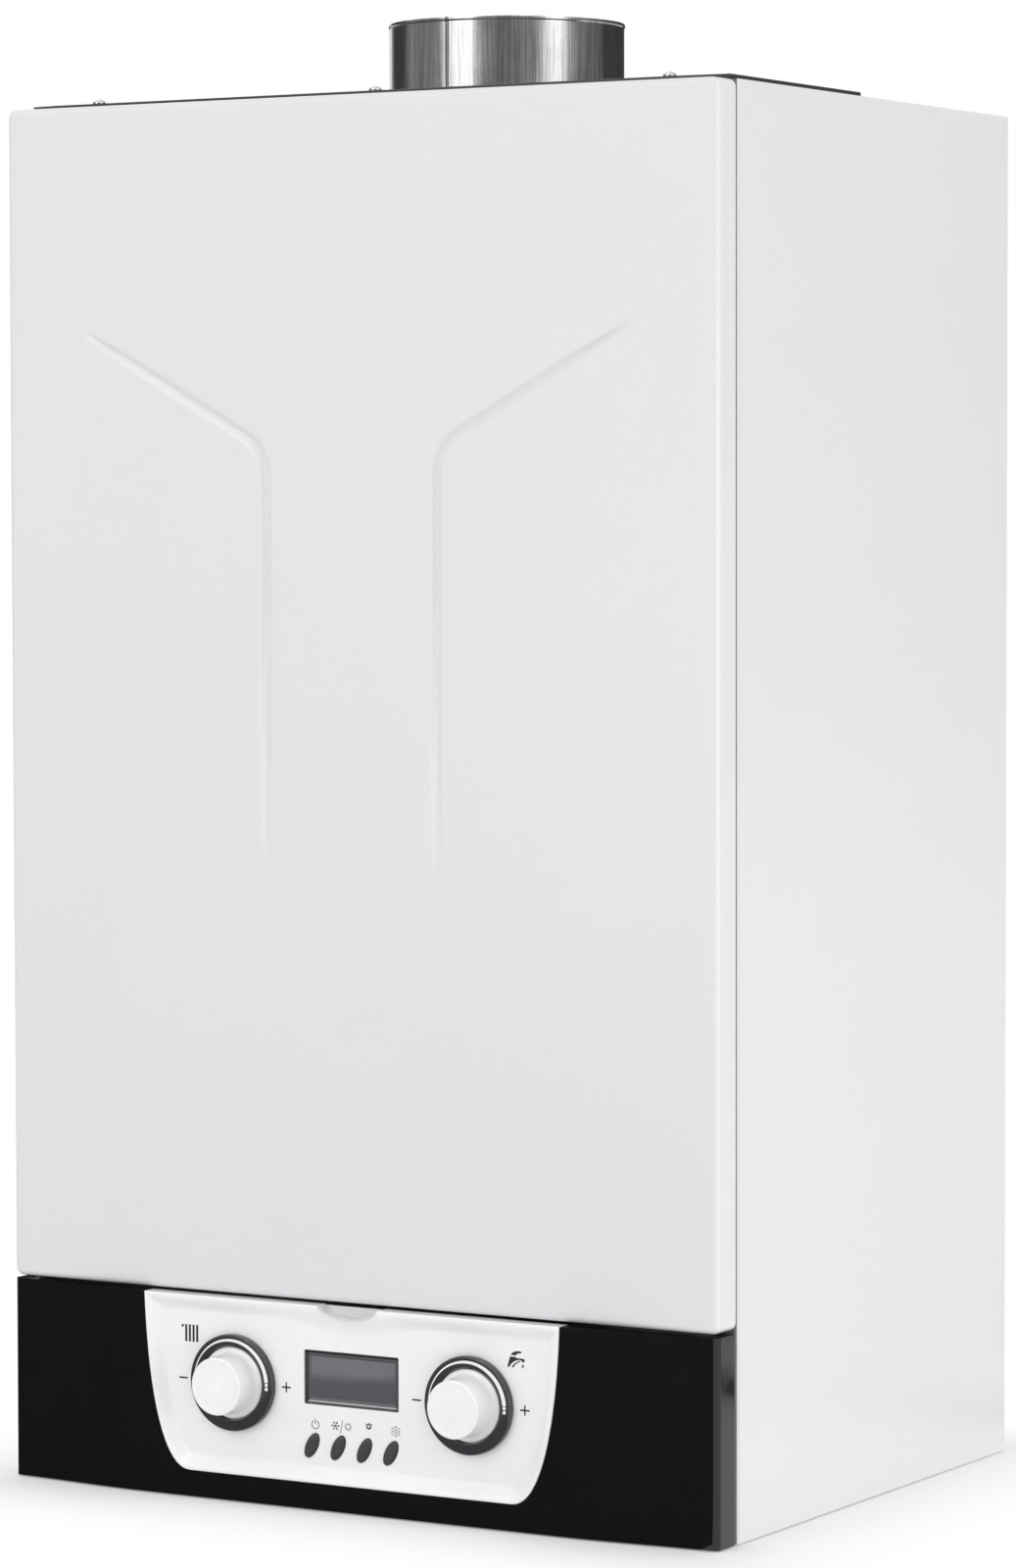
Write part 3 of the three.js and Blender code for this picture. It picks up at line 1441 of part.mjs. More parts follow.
// The safety valve's body, and the ribbed cap that is turned to lift it
function safetyValve() {
  const seat = tailPlace - blockDepth / 2 - blockBore / 2 - clear;
  const body = rodY(reliefRadius, 2 * tailSpacing, reliefZ, seat - reliefLength, seat, 6);
  const y = seat - reliefLength / 2;
  const outlet = rodZ(reliefRadius / 2, 2 * tailSpacing, y, reliefZ - reliefOutlet, reliefZ, smallSides);
  return join([body, outlet]);
}

// A lobed outline for a hand knob
function lobedPoints(radius, depth, lobes) {
  const perLobe = 6;
  const points = [];
  for (let i = 0; i < lobes * perLobe; i += 1) {
    const angle = (i / (lobes * perLobe)) * 2 * Math.PI;
    const r = radius - (depth * (1 - Math.cos(angle * lobes))) / 2;
    points.push([r * Math.cos(angle), r * Math.sin(angle)]);
  }
  return points;
}

function safetyCap() {
  const seat = tailPlace - blockDepth / 2 - blockBore / 2 - clear - reliefLength - clear;
  const points = lobedPoints(reliefKnobRadius, reliefKnobRadius * lobeShare, reliefLobes);
  const placed = points.map(([a, b]) => [2 * tailSpacing + a, reliefZ + b]);
  return run(outline(placed), seat - reliefKnobLength, seat);
}

// The filling knob under the rail, with its stem up into the valve body
function fillingKnob() {
  const top = railZ - fillDrop + fillKnobHeight;
  const points = lobedPoints(fillKnobRadius, fillKnobRadius * lobeShare, reliefLobes / 2);
  const placed = points.map(([a, b]) => [fillX + a, tailPlace + b]);
  const grip = raise(outline(placed), top - fillKnobHeight, top);
  const stem = rodZ(fillStem, fillX, tailPlace, top - fillStem, railZ + railThick, smallSides);
  return join([grip, stem]);
}

const white = '#e9eaec';
const steel = '#b9bcc0';
const brass = '#b8954a';
const copper = '#b5653f';
const black = '#18181a';
const darkGrey = '#3c3d40';

// Casing
piece('back_plate', backPlate(), steel, 0.45, 0.8);
piece('side_panel_left', sidePanel(-1), white, 0.35, 0);
piece('side_panel_right', sidePanel(1), white, 0.35, 0);
piece('front_panel', frontPanel(), white, 0.35, 0);
piece('top_cover_front', frontCover(), darkGrey, 0.5, 0.3);
const rearCover = topCover(deep(coverSplit) + clear / 2, backY - backInset, cornerRadius, 1);
piece('top_cover_rear', rearCover, steel, 0.4, 0.7);
screwPlaces.forEach((x, i) => piece(`top_screw_${i + 1}`, topScrew(x), '#d8dadd', 0.2, 1));
piece('flue_collar', flueCollar(), '#c9ccd0', 0.28, 1);

// Heating parts
piece('draught_hood', draughtHood(), steel, 0.45, 0.8);
piece('flue_thermostat', flueThermostat(), darkGrey, 0.6, 0.2);
piece('heat_exchanger', heatExchanger(), copper, 0.35, 1);
piece('combustion_chamber', combustionChamber(), steel, 0.5, 0.7);
piece('chamber_lining', chamberBoards(), '#d8d0bc', 0.9, 0);
piece('chamber_cover', chamberCover(), steel, 0.45, 0.8);
piece('sight_glass', sightGlass(), '#a9b4b8', 0.1, 0);
piece('spark_electrode', sparkElectrode(), '#e6e1d6', 0.4, 0);
piece('burner', burner(), '#a8a39a', 0.4, 0.9);
piece('gas_bar', gasBar(), steel, 0.4, 0.9);
piece('gas_pipe', gasPipe(), copper, 0.3, 1);
piece('gas_valve', gasValve(), '#9ea2a6', 0.5, 0.7);
piece('expansion_vessel', expansionVessel(), '#a3262a', 0.45, 0.1);
piece('vessel_pipe', vesselPipe(), copper, 0.3, 1);

// Water parts
piece('bottom_rail', bottomRail(), steel, 0.45, 0.8);
const names = ['heating_flow_tail', 'hot_water_tail', 'gas_tail', 'cold_water_tail', 'heating_return_tail'];
names.forEach((name, i) => {
  const top = i === 2 ? valveFoot - clear : blockFoot - clear;
  piece(name, connection(i - 2, top), brass, 0.35, 1);
});
piece('flow_block', flowBlock(), brass, 0.4, 1);
piece('return_block', returnBlock(), brass, 0.4, 1);
piece('diverter_drive', diverterDrive(), darkGrey, 0.6, 0);
piece('plate_exchanger', plateExchanger(), '#c2c4c6', 0.3, 1);
piece('pump', pump(), '#4b4e52', 0.5, 0.4);
piece('air_vent', airVent(), brass, 0.4, 1);
piece('flow_pipe', risingPipe(-1, flowTop + clear), copper, 0.3, 1);
piece('return_pipe', risingPipe(1, pumpTop + clear), copper, 0.3, 1);
piece('safety_valve', safetyValve(), brass, 0.4, 1);
piece('safety_valve_cap', safetyCap(), '#b3231f', 0.5, 0);
piece('filling_knob', fillingKnob(), '#2b2c2f', 0.55, 0);

// Controls
piece('fascia', fascia(), black, 0.25, 0);
piece('hinge_arm_left', hingeArm(-1), steel, 0.4, 0.9);
piece('hinge_arm_right', hingeArm(1), steel, 0.4, 0.9);
piece('control_panel', controlPanel(), '#eef0f1', 0.28, 0);
piece('finger_cup', fingerCup(), '#c3c7ca', 0.15, 0);
piece('display_window', displayWindow(), '#55565a', 0.12, 0);
piece('circuit_board', circuitBoard(), '#2f6b45', 0.6, 0);
piece('control_box', controlBox(), '#84878b', 0.6, 0);
piece('cable_gland', cableGland(), darkGrey, 0.6, 0);
piece('knob_ring_left', knobRing(-knobX), darkGrey, 0.2, 0);
piece('knob_ring_right', knobRing(knobX), darkGrey, 0.2, 0);
piece('heating_knob', knob(-knobX), white, 0.25, 0);
piece('hot_water_knob', knob(knobX), white, 0.25, 0);
const buttonNames = ['power_button', 'season_button', 'economy_button', 'settings_button'];
buttonNames.forEach((name, i) => piece(name, pushButton(buttonPlaces[i]), '#46464a', 0.5, 0));

export default group;
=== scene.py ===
# Wall-hung gas boiler, metres, +Z up, front towards -Y, built round the CAD model of the same part.
# The sections follow the boiler as it is put together, from the plate on the wall to the front panel.
import math

import bmesh
import bpy
from mathutils import Matrix, Vector


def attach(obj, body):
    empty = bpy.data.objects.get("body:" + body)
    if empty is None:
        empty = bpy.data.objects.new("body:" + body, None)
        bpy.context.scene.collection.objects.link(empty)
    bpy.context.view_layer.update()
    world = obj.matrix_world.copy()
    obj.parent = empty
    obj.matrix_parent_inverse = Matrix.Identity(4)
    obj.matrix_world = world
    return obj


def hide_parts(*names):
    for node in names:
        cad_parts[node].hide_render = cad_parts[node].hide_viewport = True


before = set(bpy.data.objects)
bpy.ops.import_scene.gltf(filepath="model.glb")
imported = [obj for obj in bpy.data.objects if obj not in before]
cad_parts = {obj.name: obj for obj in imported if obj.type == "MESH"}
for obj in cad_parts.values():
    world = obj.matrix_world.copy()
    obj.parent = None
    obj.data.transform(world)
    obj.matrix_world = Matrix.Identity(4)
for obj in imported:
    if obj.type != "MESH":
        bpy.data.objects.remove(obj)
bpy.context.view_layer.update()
bpy.ops.object.select_all(action="DESELECT")
MM = 0.001


# Back plate: zinc-coated sheet, pressed and punched, which hangs on two wall hooks and carries everything.
# The bottom rail, the fascia's hinge arms and the gas bar are bent from the same kind of sheet.
# Zinc shows soft spangles, faint rolling lines and small handling marks.
class Wire:
    """One socket of a material's nodes, which can be used in sums."""

    def __init__(self, tree, socket):
        self.tree = tree
        self.socket = socket

    def made(self, kind, settings, values, output=0):
        """A new node of that kind, with its settings made before its values are set or linked."""
        node = self.tree.nodes.new(kind)
        for name, value in settings.items():
            setattr(node, name, value)
        for name, value in values.items():
            if isinstance(value, Wire):
                self.tree.links.new(value.socket, node.inputs[name])
            else:
                node.inputs[name].default_value = value
        return Wire(self.tree, node.outputs[output])

    def sum(self, operation, first, second=0.0):
        """The result of a Math node's operation on one or two values."""
        return self.made("ShaderNodeMath", {"operation": operation}, {0: first, 1: second})

    def __add__(self, other):
        return self.sum("ADD", self, other)

    __radd__ = __add__

    def __sub__(self, other):
        return self.sum("SUBTRACT", self, other)

    def __rsub__(self, other):
        return self.sum("SUBTRACT", other, self)

    def __mul__(self, other):
        return self.sum("MULTIPLY", self, other)

    __rmul__ = __mul__

    def __pow__(self, other):
        return self.sum("POWER", self, other)

    def __abs__(self):
        return self.sum("ABSOLUTE", self)

    def below(self, limit):
        """1 where this value is under the limit, and 0 elsewhere."""
        return self.sum("LESS_THAN", self, limit)

    def above(self, limit):
        """1 where this value is over the limit, and 0 elsewhere."""
        return self.sum("GREATER_THAN", self, limit)

    def ramp(self, start, end, low=0.0, high=1.0):
        """Goes smoothly from low to high while this value goes from start to end."""
        values = {"Value": self, "From Min": start, "From Max": end, "To Min": low, "To Max": high}
        return self.made("ShaderNodeMapRange", {"interpolation_type": "SMOOTHSTEP"}, values)

    def noise(self, size, detail=3.0, rough=0.5, stretch=(1, 1, 1)):
        """Cloudy noise whose blotches are about that many metres across, stretched along the axes."""
        place = self.made("ShaderNodeMapping", {}, {"Vector": self, "Scale": stretch})
        values = {"Vector": place, "Scale": 1 / size, "Detail": detail, "Roughness": rough}
        return self.made("ShaderNodeTexNoise", {}, values)

    def cells(self, size, feature="F1", output=0, stretch=(1, 1, 1)):
        """Cell pattern of that size: the distance to each cell's middle, or the cell's own random colour."""
        place = self.made("ShaderNodeMapping", {}, {"Vector": self, "Scale": stretch})
        values = {"Vector": place, "Scale": 1 / size}
        return self.made("ShaderNodeTexVoronoi", {"feature": feature}, values, output)

    def over(self, base, tint):
        """The colour tint laid over the colour base, by this value."""
        colours = [colour if isinstance(colour, Wire) else (*colour, 1) for colour in (base, tint)]
        values = {"Factor": self, 6: colours[0], 7: colours[1]}
        return self.made("ShaderNodeMix", {"data_type": "RGBA"}, values, 2)

    def shades(self, tone, darker, lighter):
        """Shades of one tone, from darker to lighter times it, by this value."""
        return self.over([part * darker for part in tone], [min(1, part * lighter) for part in tone])

    def axes(self):
        """The three coordinates of this vector."""
        return [self.made("ShaderNodeSeparateXYZ", {}, {0: self}, n) for n in range(3)]


class Finish:
    """A material: its shader with its constants, and the place on the piece that its patterns read."""

    def __init__(self, name, **constants):
        self.material = bpy.data.materials.new(name)
        self.material.use_nodes = True
        self.tree = self.material.node_tree
        self.shader = self.tree.nodes["Principled BSDF"]
        for socket, value in constants.items():
            self.shader.inputs[socket.replace("_", " ")].default_value = value
        self.place = Wire(self.tree, self.tree.nodes.new("ShaderNodeTexCoord").outputs["Object"])

    def feed(self, socket, wire):
        """What changes over the surface goes into one of the shader's sockets."""
        self.tree.links.new(wire.socket, self.shader.inputs[socket])

    def bump(self, height, depth):
        """Relief of that depth in metres from a height of 0 to 1."""
        values = {"Height": height, "Distance": depth, "Strength": 1.0}
        self.feed("Normal", height.made("ShaderNodeBump", {}, values))

    def mark(self, mask, tint):
        """Lays one more colour over the base colour, where the mask is 1."""
        base = Wire(self.tree, self.shader.inputs["Base Color"].links[0].from_socket)
        self.feed("Base Color", mask.over(base, tint))


def dress(finish, *names):
    """CAD nodes whose shape is right get their finish."""
    for name in names:
        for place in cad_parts[name].material_slots:
            place.material = finish.material


def zinc_sheet(name, tone=0.62, spangle=0.016):
    """Zinc-coated sheet: spangles, rolling lines, and duller hand marks."""
    finish = Finish(name, Metallic=1.0, Specular_IOR_Level=0.5)
    grain = finish.place.cells(spangle, output=1)
    shade = finish.place.made("ShaderNodeRGBToBW", {}, {"Color": grain})
    lines = finish.place.noise(0.0006, 2, 0.5, (1, 1, 0.02))
    marks = finish.place.noise(0.06, 4, 0.6)
    level = shade * 0.5 + lines * 0.2 + marks * 0.3
    dark = [tone * 0.72, tone * 0.735, tone * 0.75]
    finish.feed("Base Color", level.over(dark, [tone * 1.08, tone * 1.09, tone * 1.1]))
    finish.feed("Roughness", shade * 0.12 + marks * 0.22 + 0.24)
    finish.bump(lines * 0.6 + shade * 0.4, 0.00002)
    return finish


dress(zinc_sheet("zinc_back_plate"), "back_plate", "bottom_rail")
dress(zinc_sheet("zinc_fittings", 0.6, 0.012), "hinge_arm_left", "hinge_arm_right", "gas_bar")


# Side panels: sheet steel with folded edges, satin powder coat outside, screwed to the back plate.
# The coat has a fine orange peel. Their front edges are painted dark, as painted shade in the seam where the
# front panel closes on them.
SIDE_WHITE = (0.805, 0.805, 0.82)
# The dark tone is painted shade in the seam, on the panels' front edges.
SEAM_SHADE = (0.15, 0.15, 0.15)
# The pale tone is a painted highlight, laid on the outer folds.
FOLD_HIGHLIGHT = (0.92, 0.93, 0.945)
SEAM_SHADE_Y = -0.1331
FOLD_HIGHLIGHT_START, FOLD_HIGHLIGHT_END = 0.2092, 0.2112


def powder_coat(name, tone, peel=0.0011, gloss=0.33, seam_shaded=False):
    """Baked powder coat: fine orange peel, slight clouding, and a painted highlight on the outer folds, or
    painted seam shade on the front edges instead.
    """
    finish = Finish(name, Coat_Weight=0.12, Coat_Roughness=0.2, Specular_IOR_Level=0.42)
    clouds = finish.place.noise(0.14, 3, 0.5)
    grain = finish.place.noise(peel, 2, 0.55)
    haze = finish.place.noise(0.05, 2, 0.5)
    level = clouds * 0.8 + grain * 0.2
    finish.feed("Base Color", level.shades(tone, 0.985, 1.015))
    side, ahead, up = finish.place.axes()
    if seam_shaded:
        # Painted shade darkens the front edges, in the seam.
        finish.mark(ahead.below(SEAM_SHADE_Y), SEAM_SHADE)
    else:
        # Painted highlight on the outer folds.
        finish.mark(abs(side).ramp(FOLD_HIGHLIGHT_START, FOLD_HIGHLIGHT_END) * 0.35, FOLD_HIGHLIGHT)
    finish.feed("Roughness", (haze - 0.5) * 0.05 + (clouds - 0.5) * 0.05 + gloss)
    finish.bump(grain, 0.000008)
    return finish


dress(powder_coat("powder_coat_sides", SIDE_WHITE, seam_shaded=True), "side_panel_left", "side_panel_right")


# Flue collar: stainless strip, rolled round and seam-welded, with a small bead at its open end.
# Its foot is a flat flange on the draught hood's roof.
def rounded(corners, steps=4):
    """Profile points with each corner (across, along, radius) eased by an arc."""
    points = []
    for n, (a, b, radius) in enumerate(corners):
        here = Vector((a, b))
        before = Vector(corners[n - 1][:2]) - here
        after = Vector(corners[(n + 1) % len(corners)][:2]) - here
        open_end = n in (0, len(corners) - 1)
        if radius == 0 or open_end:
            points.append((a, b))
            continue
        half = before.angle(after) / 2
        reach = min(radius / math.tan(half), before.length * 0.49, after.length * 0.49)
        start = here + before.normalized() * reach
        end = here + after.normalized() * reach
        for k in range(steps + 1):
            t = k / steps
            spot = start * (1 - t) ** 2 + here * (2 * t * (1 - t)) + end * t ** 2
            points.append((spot.x, spot.y))
    return points


def lofted(name, rings, capped=True):
    """A skin through rings of points in millimetres, each ring pulled out of the one before it."""
    bpy.ops.object.select_all(action="DESELECT")
    count = len(rings[0])
    bpy.ops.mesh.primitive_circle_add(vertices=count, fill_type="NGON" if capped else "NOTHING")
    piece = bpy.context.object
    piece.name = name
    for vertex, point in zip(piece.data.vertices, rings[0]):
        vertex.co = Vector(point) * MM
    bpy.ops.object.mode_set(mode="EDIT")
    bpy.ops.mesh.select_mode(type="VERT")
    bpy.ops.mesh.select_all(action="SELECT")
    for ring, goal in zip(rings, rings[1:]):
        bpy.ops.mesh.extrude_edges_move()
        shape = bmesh.from_edit_mesh(piece.data)
        shape.verts.ensure_lookup_table()
        for vertex in shape.verts[len(shape.verts) - count:]:
            nearest = min(range(count), key=lambda n: (Vector(ring[n]) * MM - vertex.co).length_squared)
            vertex.co = Vector(goal[nearest]) * MM
        bmesh.update_edit_mesh(piece.data)
    if capped:
        bpy.ops.mesh.edge_face_add()
    bpy.ops.mesh.select_all(action="SELECT")
    bpy.ops.mesh.remove_doubles(threshold=0.000002)
    bpy.ops.mesh.normals_make_consistent(inside=False)
    bpy.ops.object.mode_set(mode="OBJECT")
    return piece


def circle(radius, along, centre, axis, sides):
    """A ring of points about an axis through centre."""
    ring = []
    for n in range(sides):
        angle = 2 * math.pi * n / sides
        a, b = radius * math.cos(angle), radius * math.sin(angle)
        offset = {"Y": (a, along, b), "Z": (a, b, along)}[axis]
        ring.append(tuple(c + o for c, o in zip(centre, offset)))
    return ring


def turned(name, profile, centre, axis, sides, closed=False):
    """A piece turned on a lathe from its profile of (radius, place along the axis)."""
    profile = profile + profile[:1] if closed else profile
    rings = [circle(max(radius, 0.02), along, centre, axis, sides) for radius, along in profile]
    return lofted(name, rings, not closed)


def copied(name, node):
    """A CAD node's mesh with its loose triangles merged and its flat faces made whole."""
    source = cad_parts[node]
    piece = bpy.data.objects.new(name, source.data.copy())
    bpy.context.scene.collection.objects.link(piece)
    bpy.ops.object.select_all(action="DESELECT")
    piece.select_set(True)
    bpy.context.view_layer.objects.active = piece
    bpy.ops.object.mode_set(mode="EDIT")
    bpy.ops.mesh.select_all(action="SELECT")
    bpy.ops.mesh.remove_doubles(threshold=0.00001)
    bpy.ops.mesh.dissolve_limited(angle_limit=math.radians(0.5))
    bpy.ops.object.mode_set(mode="OBJECT")
    return piece


def applied(piece, kind, **settings):
    """A modifier of that kind, made and applied."""
    bpy.context.view_layer.objects.active = piece
    step = piece.modifiers.new(kind.lower(), kind)
    for name, value in settings.items():
        setattr(step, name, value)
    bpy.ops.object.modifier_apply(modifier=step.name)
    return piece


def eased(piece, width, steps=2, angle=30):
    """Sharp edges rounded by that many millimetres."""
    limit = math.radians(angle)
    return applied(piece, "BEVEL", width=width * MM, segments=steps, limit_method="ANGLE", angle_limit=limit,
                   use_clamp_overlap=True, harden_normals=False)


def carved(piece, *cutters):
    """Cutters taken out of a piece, and thrown away."""
    for cutter in cutters:
        applied(piece, "BOOLEAN", object=cutter, operation="DIFFERENCE", solver="MANIFOLD")
        bpy.data.objects.remove(cutter)


def joined(piece, *others):
    """Several meshes made one piece, which keeps the first one's name."""
    bpy.ops.object.select_all(action="DESELECT")
    for part in (piece, *others):
        part.select_set(True)
    bpy.context.view_layer.objects.active = piece
    bpy.ops.object.join()
    return piece


def settled(piece, finish, body, slot, *nodes, angle=35):
    """The piece gets its smooth shading and finish, rides on its body and stands for its CAD nodes."""
    bpy.ops.object.select_all(action="DESELECT")
    piece.select_set(True)
    bpy.context.view_layer.objects.active = piece
    bpy.ops.object.shade_smooth_by_angle(angle=math.radians(angle))
    applied(piece, "WEIGHTED_NORMAL", keep_sharp=True)
    piece.data.materials.clear()
    piece.data.materials.append(finish.material)
    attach(piece, body)
    if nodes:
        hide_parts(*nodes)


FLUE_Y = 3.5
BORE, WALL, BEAD, FLANGE = 60.8, 62, 62.5, 71
FLANGE_Z, FLANGE_TOP, RIM_Z = 686.6, 687.8, 765.9
collar_lines = rounded([(BORE, FLANGE_Z, 0), (FLANGE, FLANGE_Z, 0), (FLANGE, FLANGE_TOP, 0.4),
                        (WALL, FLANGE_TOP, 0.8), (WALL, RIM_Z - 2.3, 0.4), (BEAD, RIM_Z - 1.5, 0.5),
                        (BEAD, RIM_Z, 0.6), (BORE + 0.1, RIM_Z, 0.3), (BORE, RIM_Z - 3.9, 0)])
collar = turned("flue_collar_rolled", collar_lines, (0, FLUE_Y, 0), "Z", 160, closed=True)
STEEL_REFLECTED_BRIGHT, STEEL_REFLECTED_DARK, STEEL_STRAW = (0.88, 0.88, 0.89), (0.44, 0.44, 0.445), (0.78, 0.75, 0.6)
WELD_DARK = (0.1, 0.1, 0.1)
WELD_AT, LAP_AT = -1.56, -0.23


def rolled_steel(name):
    """Bright stainless strip: fine rolling lines round it, shallow waves, rubbed patches and its weld, with
    upright bands of painted reflection in its colour.
    """
    finish = Finish(name, Metallic=1.0)
    x, y, z = finish.place.axes()
    around = finish.place.sum("ARCTAN2", y - FLUE_Y * MM, x)
    track = finish.place.made("ShaderNodeCombineXYZ", {}, {"X": around * 0.062, "Y": z * 0.02, "Z": 0.0})
    waves = track.noise(0.012, 3, 0.55)
    fine = track.noise(0.0009, 3, 0.6)
    level = finish.place.made("ShaderNodeCombineXYZ", {}, {"X": around * 0.002, "Y": z, "Z": 0.0})
    lines = level.noise(0.0007, 2, 0.5)
    rubs = finish.place.noise(0.03, 5, 0.65)
    rubs_and_reflection_streaks = waves * 0.4 + fine * 0.45 + rubs * 0.15
    weld = abs(around - WELD_AT).ramp(0.018, 0.006)
    # Upright dark and bright bands in the colour are painted reflection, mixed with the rubbed patches.
    finish.feed("Base Color", rubs_and_reflection_streaks.ramp(0.38, 0.62).over(STEEL_REFLECTED_DARK, STEEL_REFLECTED_BRIGHT))
    finish.mark(abs(around - LAP_AT).below(0.007), STEEL_STRAW)
    finish.mark(weld * 0.7, WELD_DARK)
    finish.feed("Roughness", rubs * 0.16 + lines * 0.05 + 0.09)
    finish.bump(waves * 0.5 + fine * 0.12 + lines * 0.06 + weld * 0.9, 0.00028)
    return finish


settled(collar, rolled_steel("stainless_collar"), "casing", "stainless", "flue_collar", angle=50)


# Draught hood: bent from the same zinc-coated sheet, which draws room air in beside the flue gas.
# Its folds are eased, so that they catch the light.
def mellowed(node, way, width, finish, slot, steps=2, body="casing"):
    """A piece in a CAD node's own shape with its sharp edges eased, in its finish."""
    piece = eased(copied("%s_%s" % (node, way), node), width, steps, 35)
    settled(piece, finish, body, slot, node)


mellowed("draught_hood", "bent", 0.4, zinc_sheet("zinc_hood", 0.58, 0.018), "zinc_steel")


# Flue thermostat: a black moulded switch clipped to the hood, with its sensing disc underneath.
# It shuts the gas off when flue gas spills back into the room.
def moulded(name, tone, gloss, peel, speck=0.0008, **constants):
    """Injection-moulded plastic: slight flow clouding, fine surface grain, and handling haze."""
    finish = Finish(name, **constants)
    flow = finish.place.noise(0.045, 3, 0.55, (1, 1, 2.2))
    grain = finish.place.noise(speck, 2, 0.6)
    haze = finish.place.noise(0.02, 5, 0.65)
    level = flow * 0.7 + haze * 0.3
    finish.feed("Base Color", level.shades(tone, 0.93, 1.07))
    finish.feed("Roughness", haze.ramp(0.35, 0.8, 0.0, 0.09) + gloss)
    finish.bump(grain * 0.6 + flow * 0.4, peel)
    return finish


BAKELITE = (0.02, 0.02, 0.022)
bakelite = moulded("phenolic_black", BAKELITE, 0.34, 0.00003)
mellowed("flue_thermostat", "clip", 0.5, bakelite, "dark_plastic", 3)


# Heat exchanger: copper fins pressed on copper tubes and brazed, heat-tinted towards the flames below.
# It rests on the combustion chamber's walls, between the burner and the hood.
def copper(name, heat_from=0.0, heat_to=0.0, gloss=0.2):
    """Drawn copper: bright and brown patches, fine draw lines, and heat tint where heights are given."""
    finish = Finish(name, Metallic=1.0)
    patches = finish.place.noise(0.035, 5, 0.6)
    lines = finish.place.noise(0.0007, 2, 0.5, (1, 1, 0.1))
    spots = finish.place.noise(0.006, 3, 0.6)
    worn = patches * 0.7 + spots * 0.3
    tone = worn.ramp(0.35, 0.68).over([0.42, 0.19, 0.11], [0.86, 0.47, 0.32])
    finish.feed("Base Color", tone)
    if heat_to:
        height = finish.place.axes()[2]
        finish.mark(height.ramp(heat_to, heat_from) * (patches * 0.5 + 0.5), (0.22, 0.12, 0.13))
    finish.feed("Roughness", worn.ramp(0.7, 0.3, gloss, gloss + 0.25) + lines * 0.06)
    finish.bump(lines * 0.5 + patches * 0.5, 0.00003)
    return finish


FINS_LOW, FINS_HIGH = 0.532, 0.575
dress(copper("copper_fins", FINS_LOW, FINS_HIGH), "heat_exchanger")


# Combustion chamber: aluminised sheet, dull with heat, folded to a box that is open in front.
# Its sides and back are lined with pale fibre board.
def fibre(name):
    """Pressed ceramic fibre: matted strands, loose specks and soot clouds."""
    finish = Finish(name, Roughness=0.95, Specular_IOR_Level=0.2)
    strands = finish.place.noise(0.0012, 4, 0.7, (1, 1, 0.25))
    mat = finish.place.noise(0.004, 5, 0.7)
    soot = finish.place.noise(0.07, 3, 0.5)
    level = strands * 0.4 + mat * 0.4 + soot * 0.2
    finish.feed("Base Color", level.ramp(0.3, 0.7).over([0.62, 0.58, 0.50], [0.86, 0.83, 0.76]))
    finish.bump(strands * 0.5 + mat * 0.5, 0.0003)
    return finish


mellowed("combustion_chamber", "folded", 0.3, zinc_sheet("aluminised_sheet", 0.5, 0.03), "zinc_steel")
dress(fibre("fibre_boards"), "chamber_lining")

# Chamber cover: ribbed zinc-coated sheet, screwed over the chamber's mouth.
# It holds the sight glass and the spark electrode.
mellowed("chamber_cover", "pressed", 0.4, zinc_sheet("zinc_cover", 0.6, 0.014), "zinc_steel", 3)

# Sight glass: a thick glass pane, a little browned by the heat.
# A turned ring clamps it in the middle of the chamber cover.
BROWNED = (0.30, 0.26, 0.20)
glass = moulded("browned_glass", BROWNED, 0.06, 0.00001, 0.0004, IOR=1.5, Transmission_Weight=0.6)
mellowed("sight_glass", "ring", 0.3, glass, "sight_glass", 3)

# Spark electrode: a steel pin through a glazed ceramic body, which goes through the chamber cover.
# The pin ends over the burner.
CERAMIC, PIN_STEEL = (0.83, 0.81, 0.76), (0.38, 0.37, 0.36)
PIN_Y = -0.062
glaze = moulded("ceramic_glaze", CERAMIC, 0.1, 0.00002)
pin = glaze.place.axes()[1].above(PIN_Y)
glaze.mark(pin, PIN_STEEL)
glaze.feed("Metallic", pin)
mellowed("spark_electrode", "glazed", 0.25, glaze, "ceramic_white", 3)


# Burner: slotted stainless blades in a frame, fed by the gas bar's nozzles.
# The flames have blued the blades along their upper edges.
def blued_steel(name, low, high):
    """Stainless sheet with straw, brown and blue heat tints that rise between two heights."""
    finish = Finish(name, Metallic=1.0)
    lines = finish.place.noise(0.0008, 2, 0.5, (0.1, 1, 1))
    patches = finish.place.noise(0.02, 4, 0.6)
    heat = finish.place.axes()[2].ramp(low, high) * 0.8 + patches * 0.3
    clean = lines.over([0.50, 0.49, 0.47], [0.60, 0.59, 0.57])
    straw = heat.ramp(0.3, 0.6).over(clean, (0.50, 0.36, 0.20))
    finish.feed("Base Color", heat.ramp(0.65, 0.95).over(straw, (0.16, 0.16, 0.26)))
    finish.feed("Roughness", lines * 0.12 + patches * 0.15 + 0.24)
    finish.bump(lines, 0.00002)
    return finish


BLADES_LOW, BLADES_HIGH = 0.328, 0.349
mellowed("burner", "blades", 0.25, blued_steel("burner_blued", BLADES_LOW, BLADES_HIGH), "burner_steel", 1)

# Gas pipe: drawn copper tube, bent by hand.
# It climbs from the gas valve to the gas bar under the burner.
mellowed("gas_pipe", "bent", 0.2, copper("copper_gas_pipe", gloss=0.16), "copper")


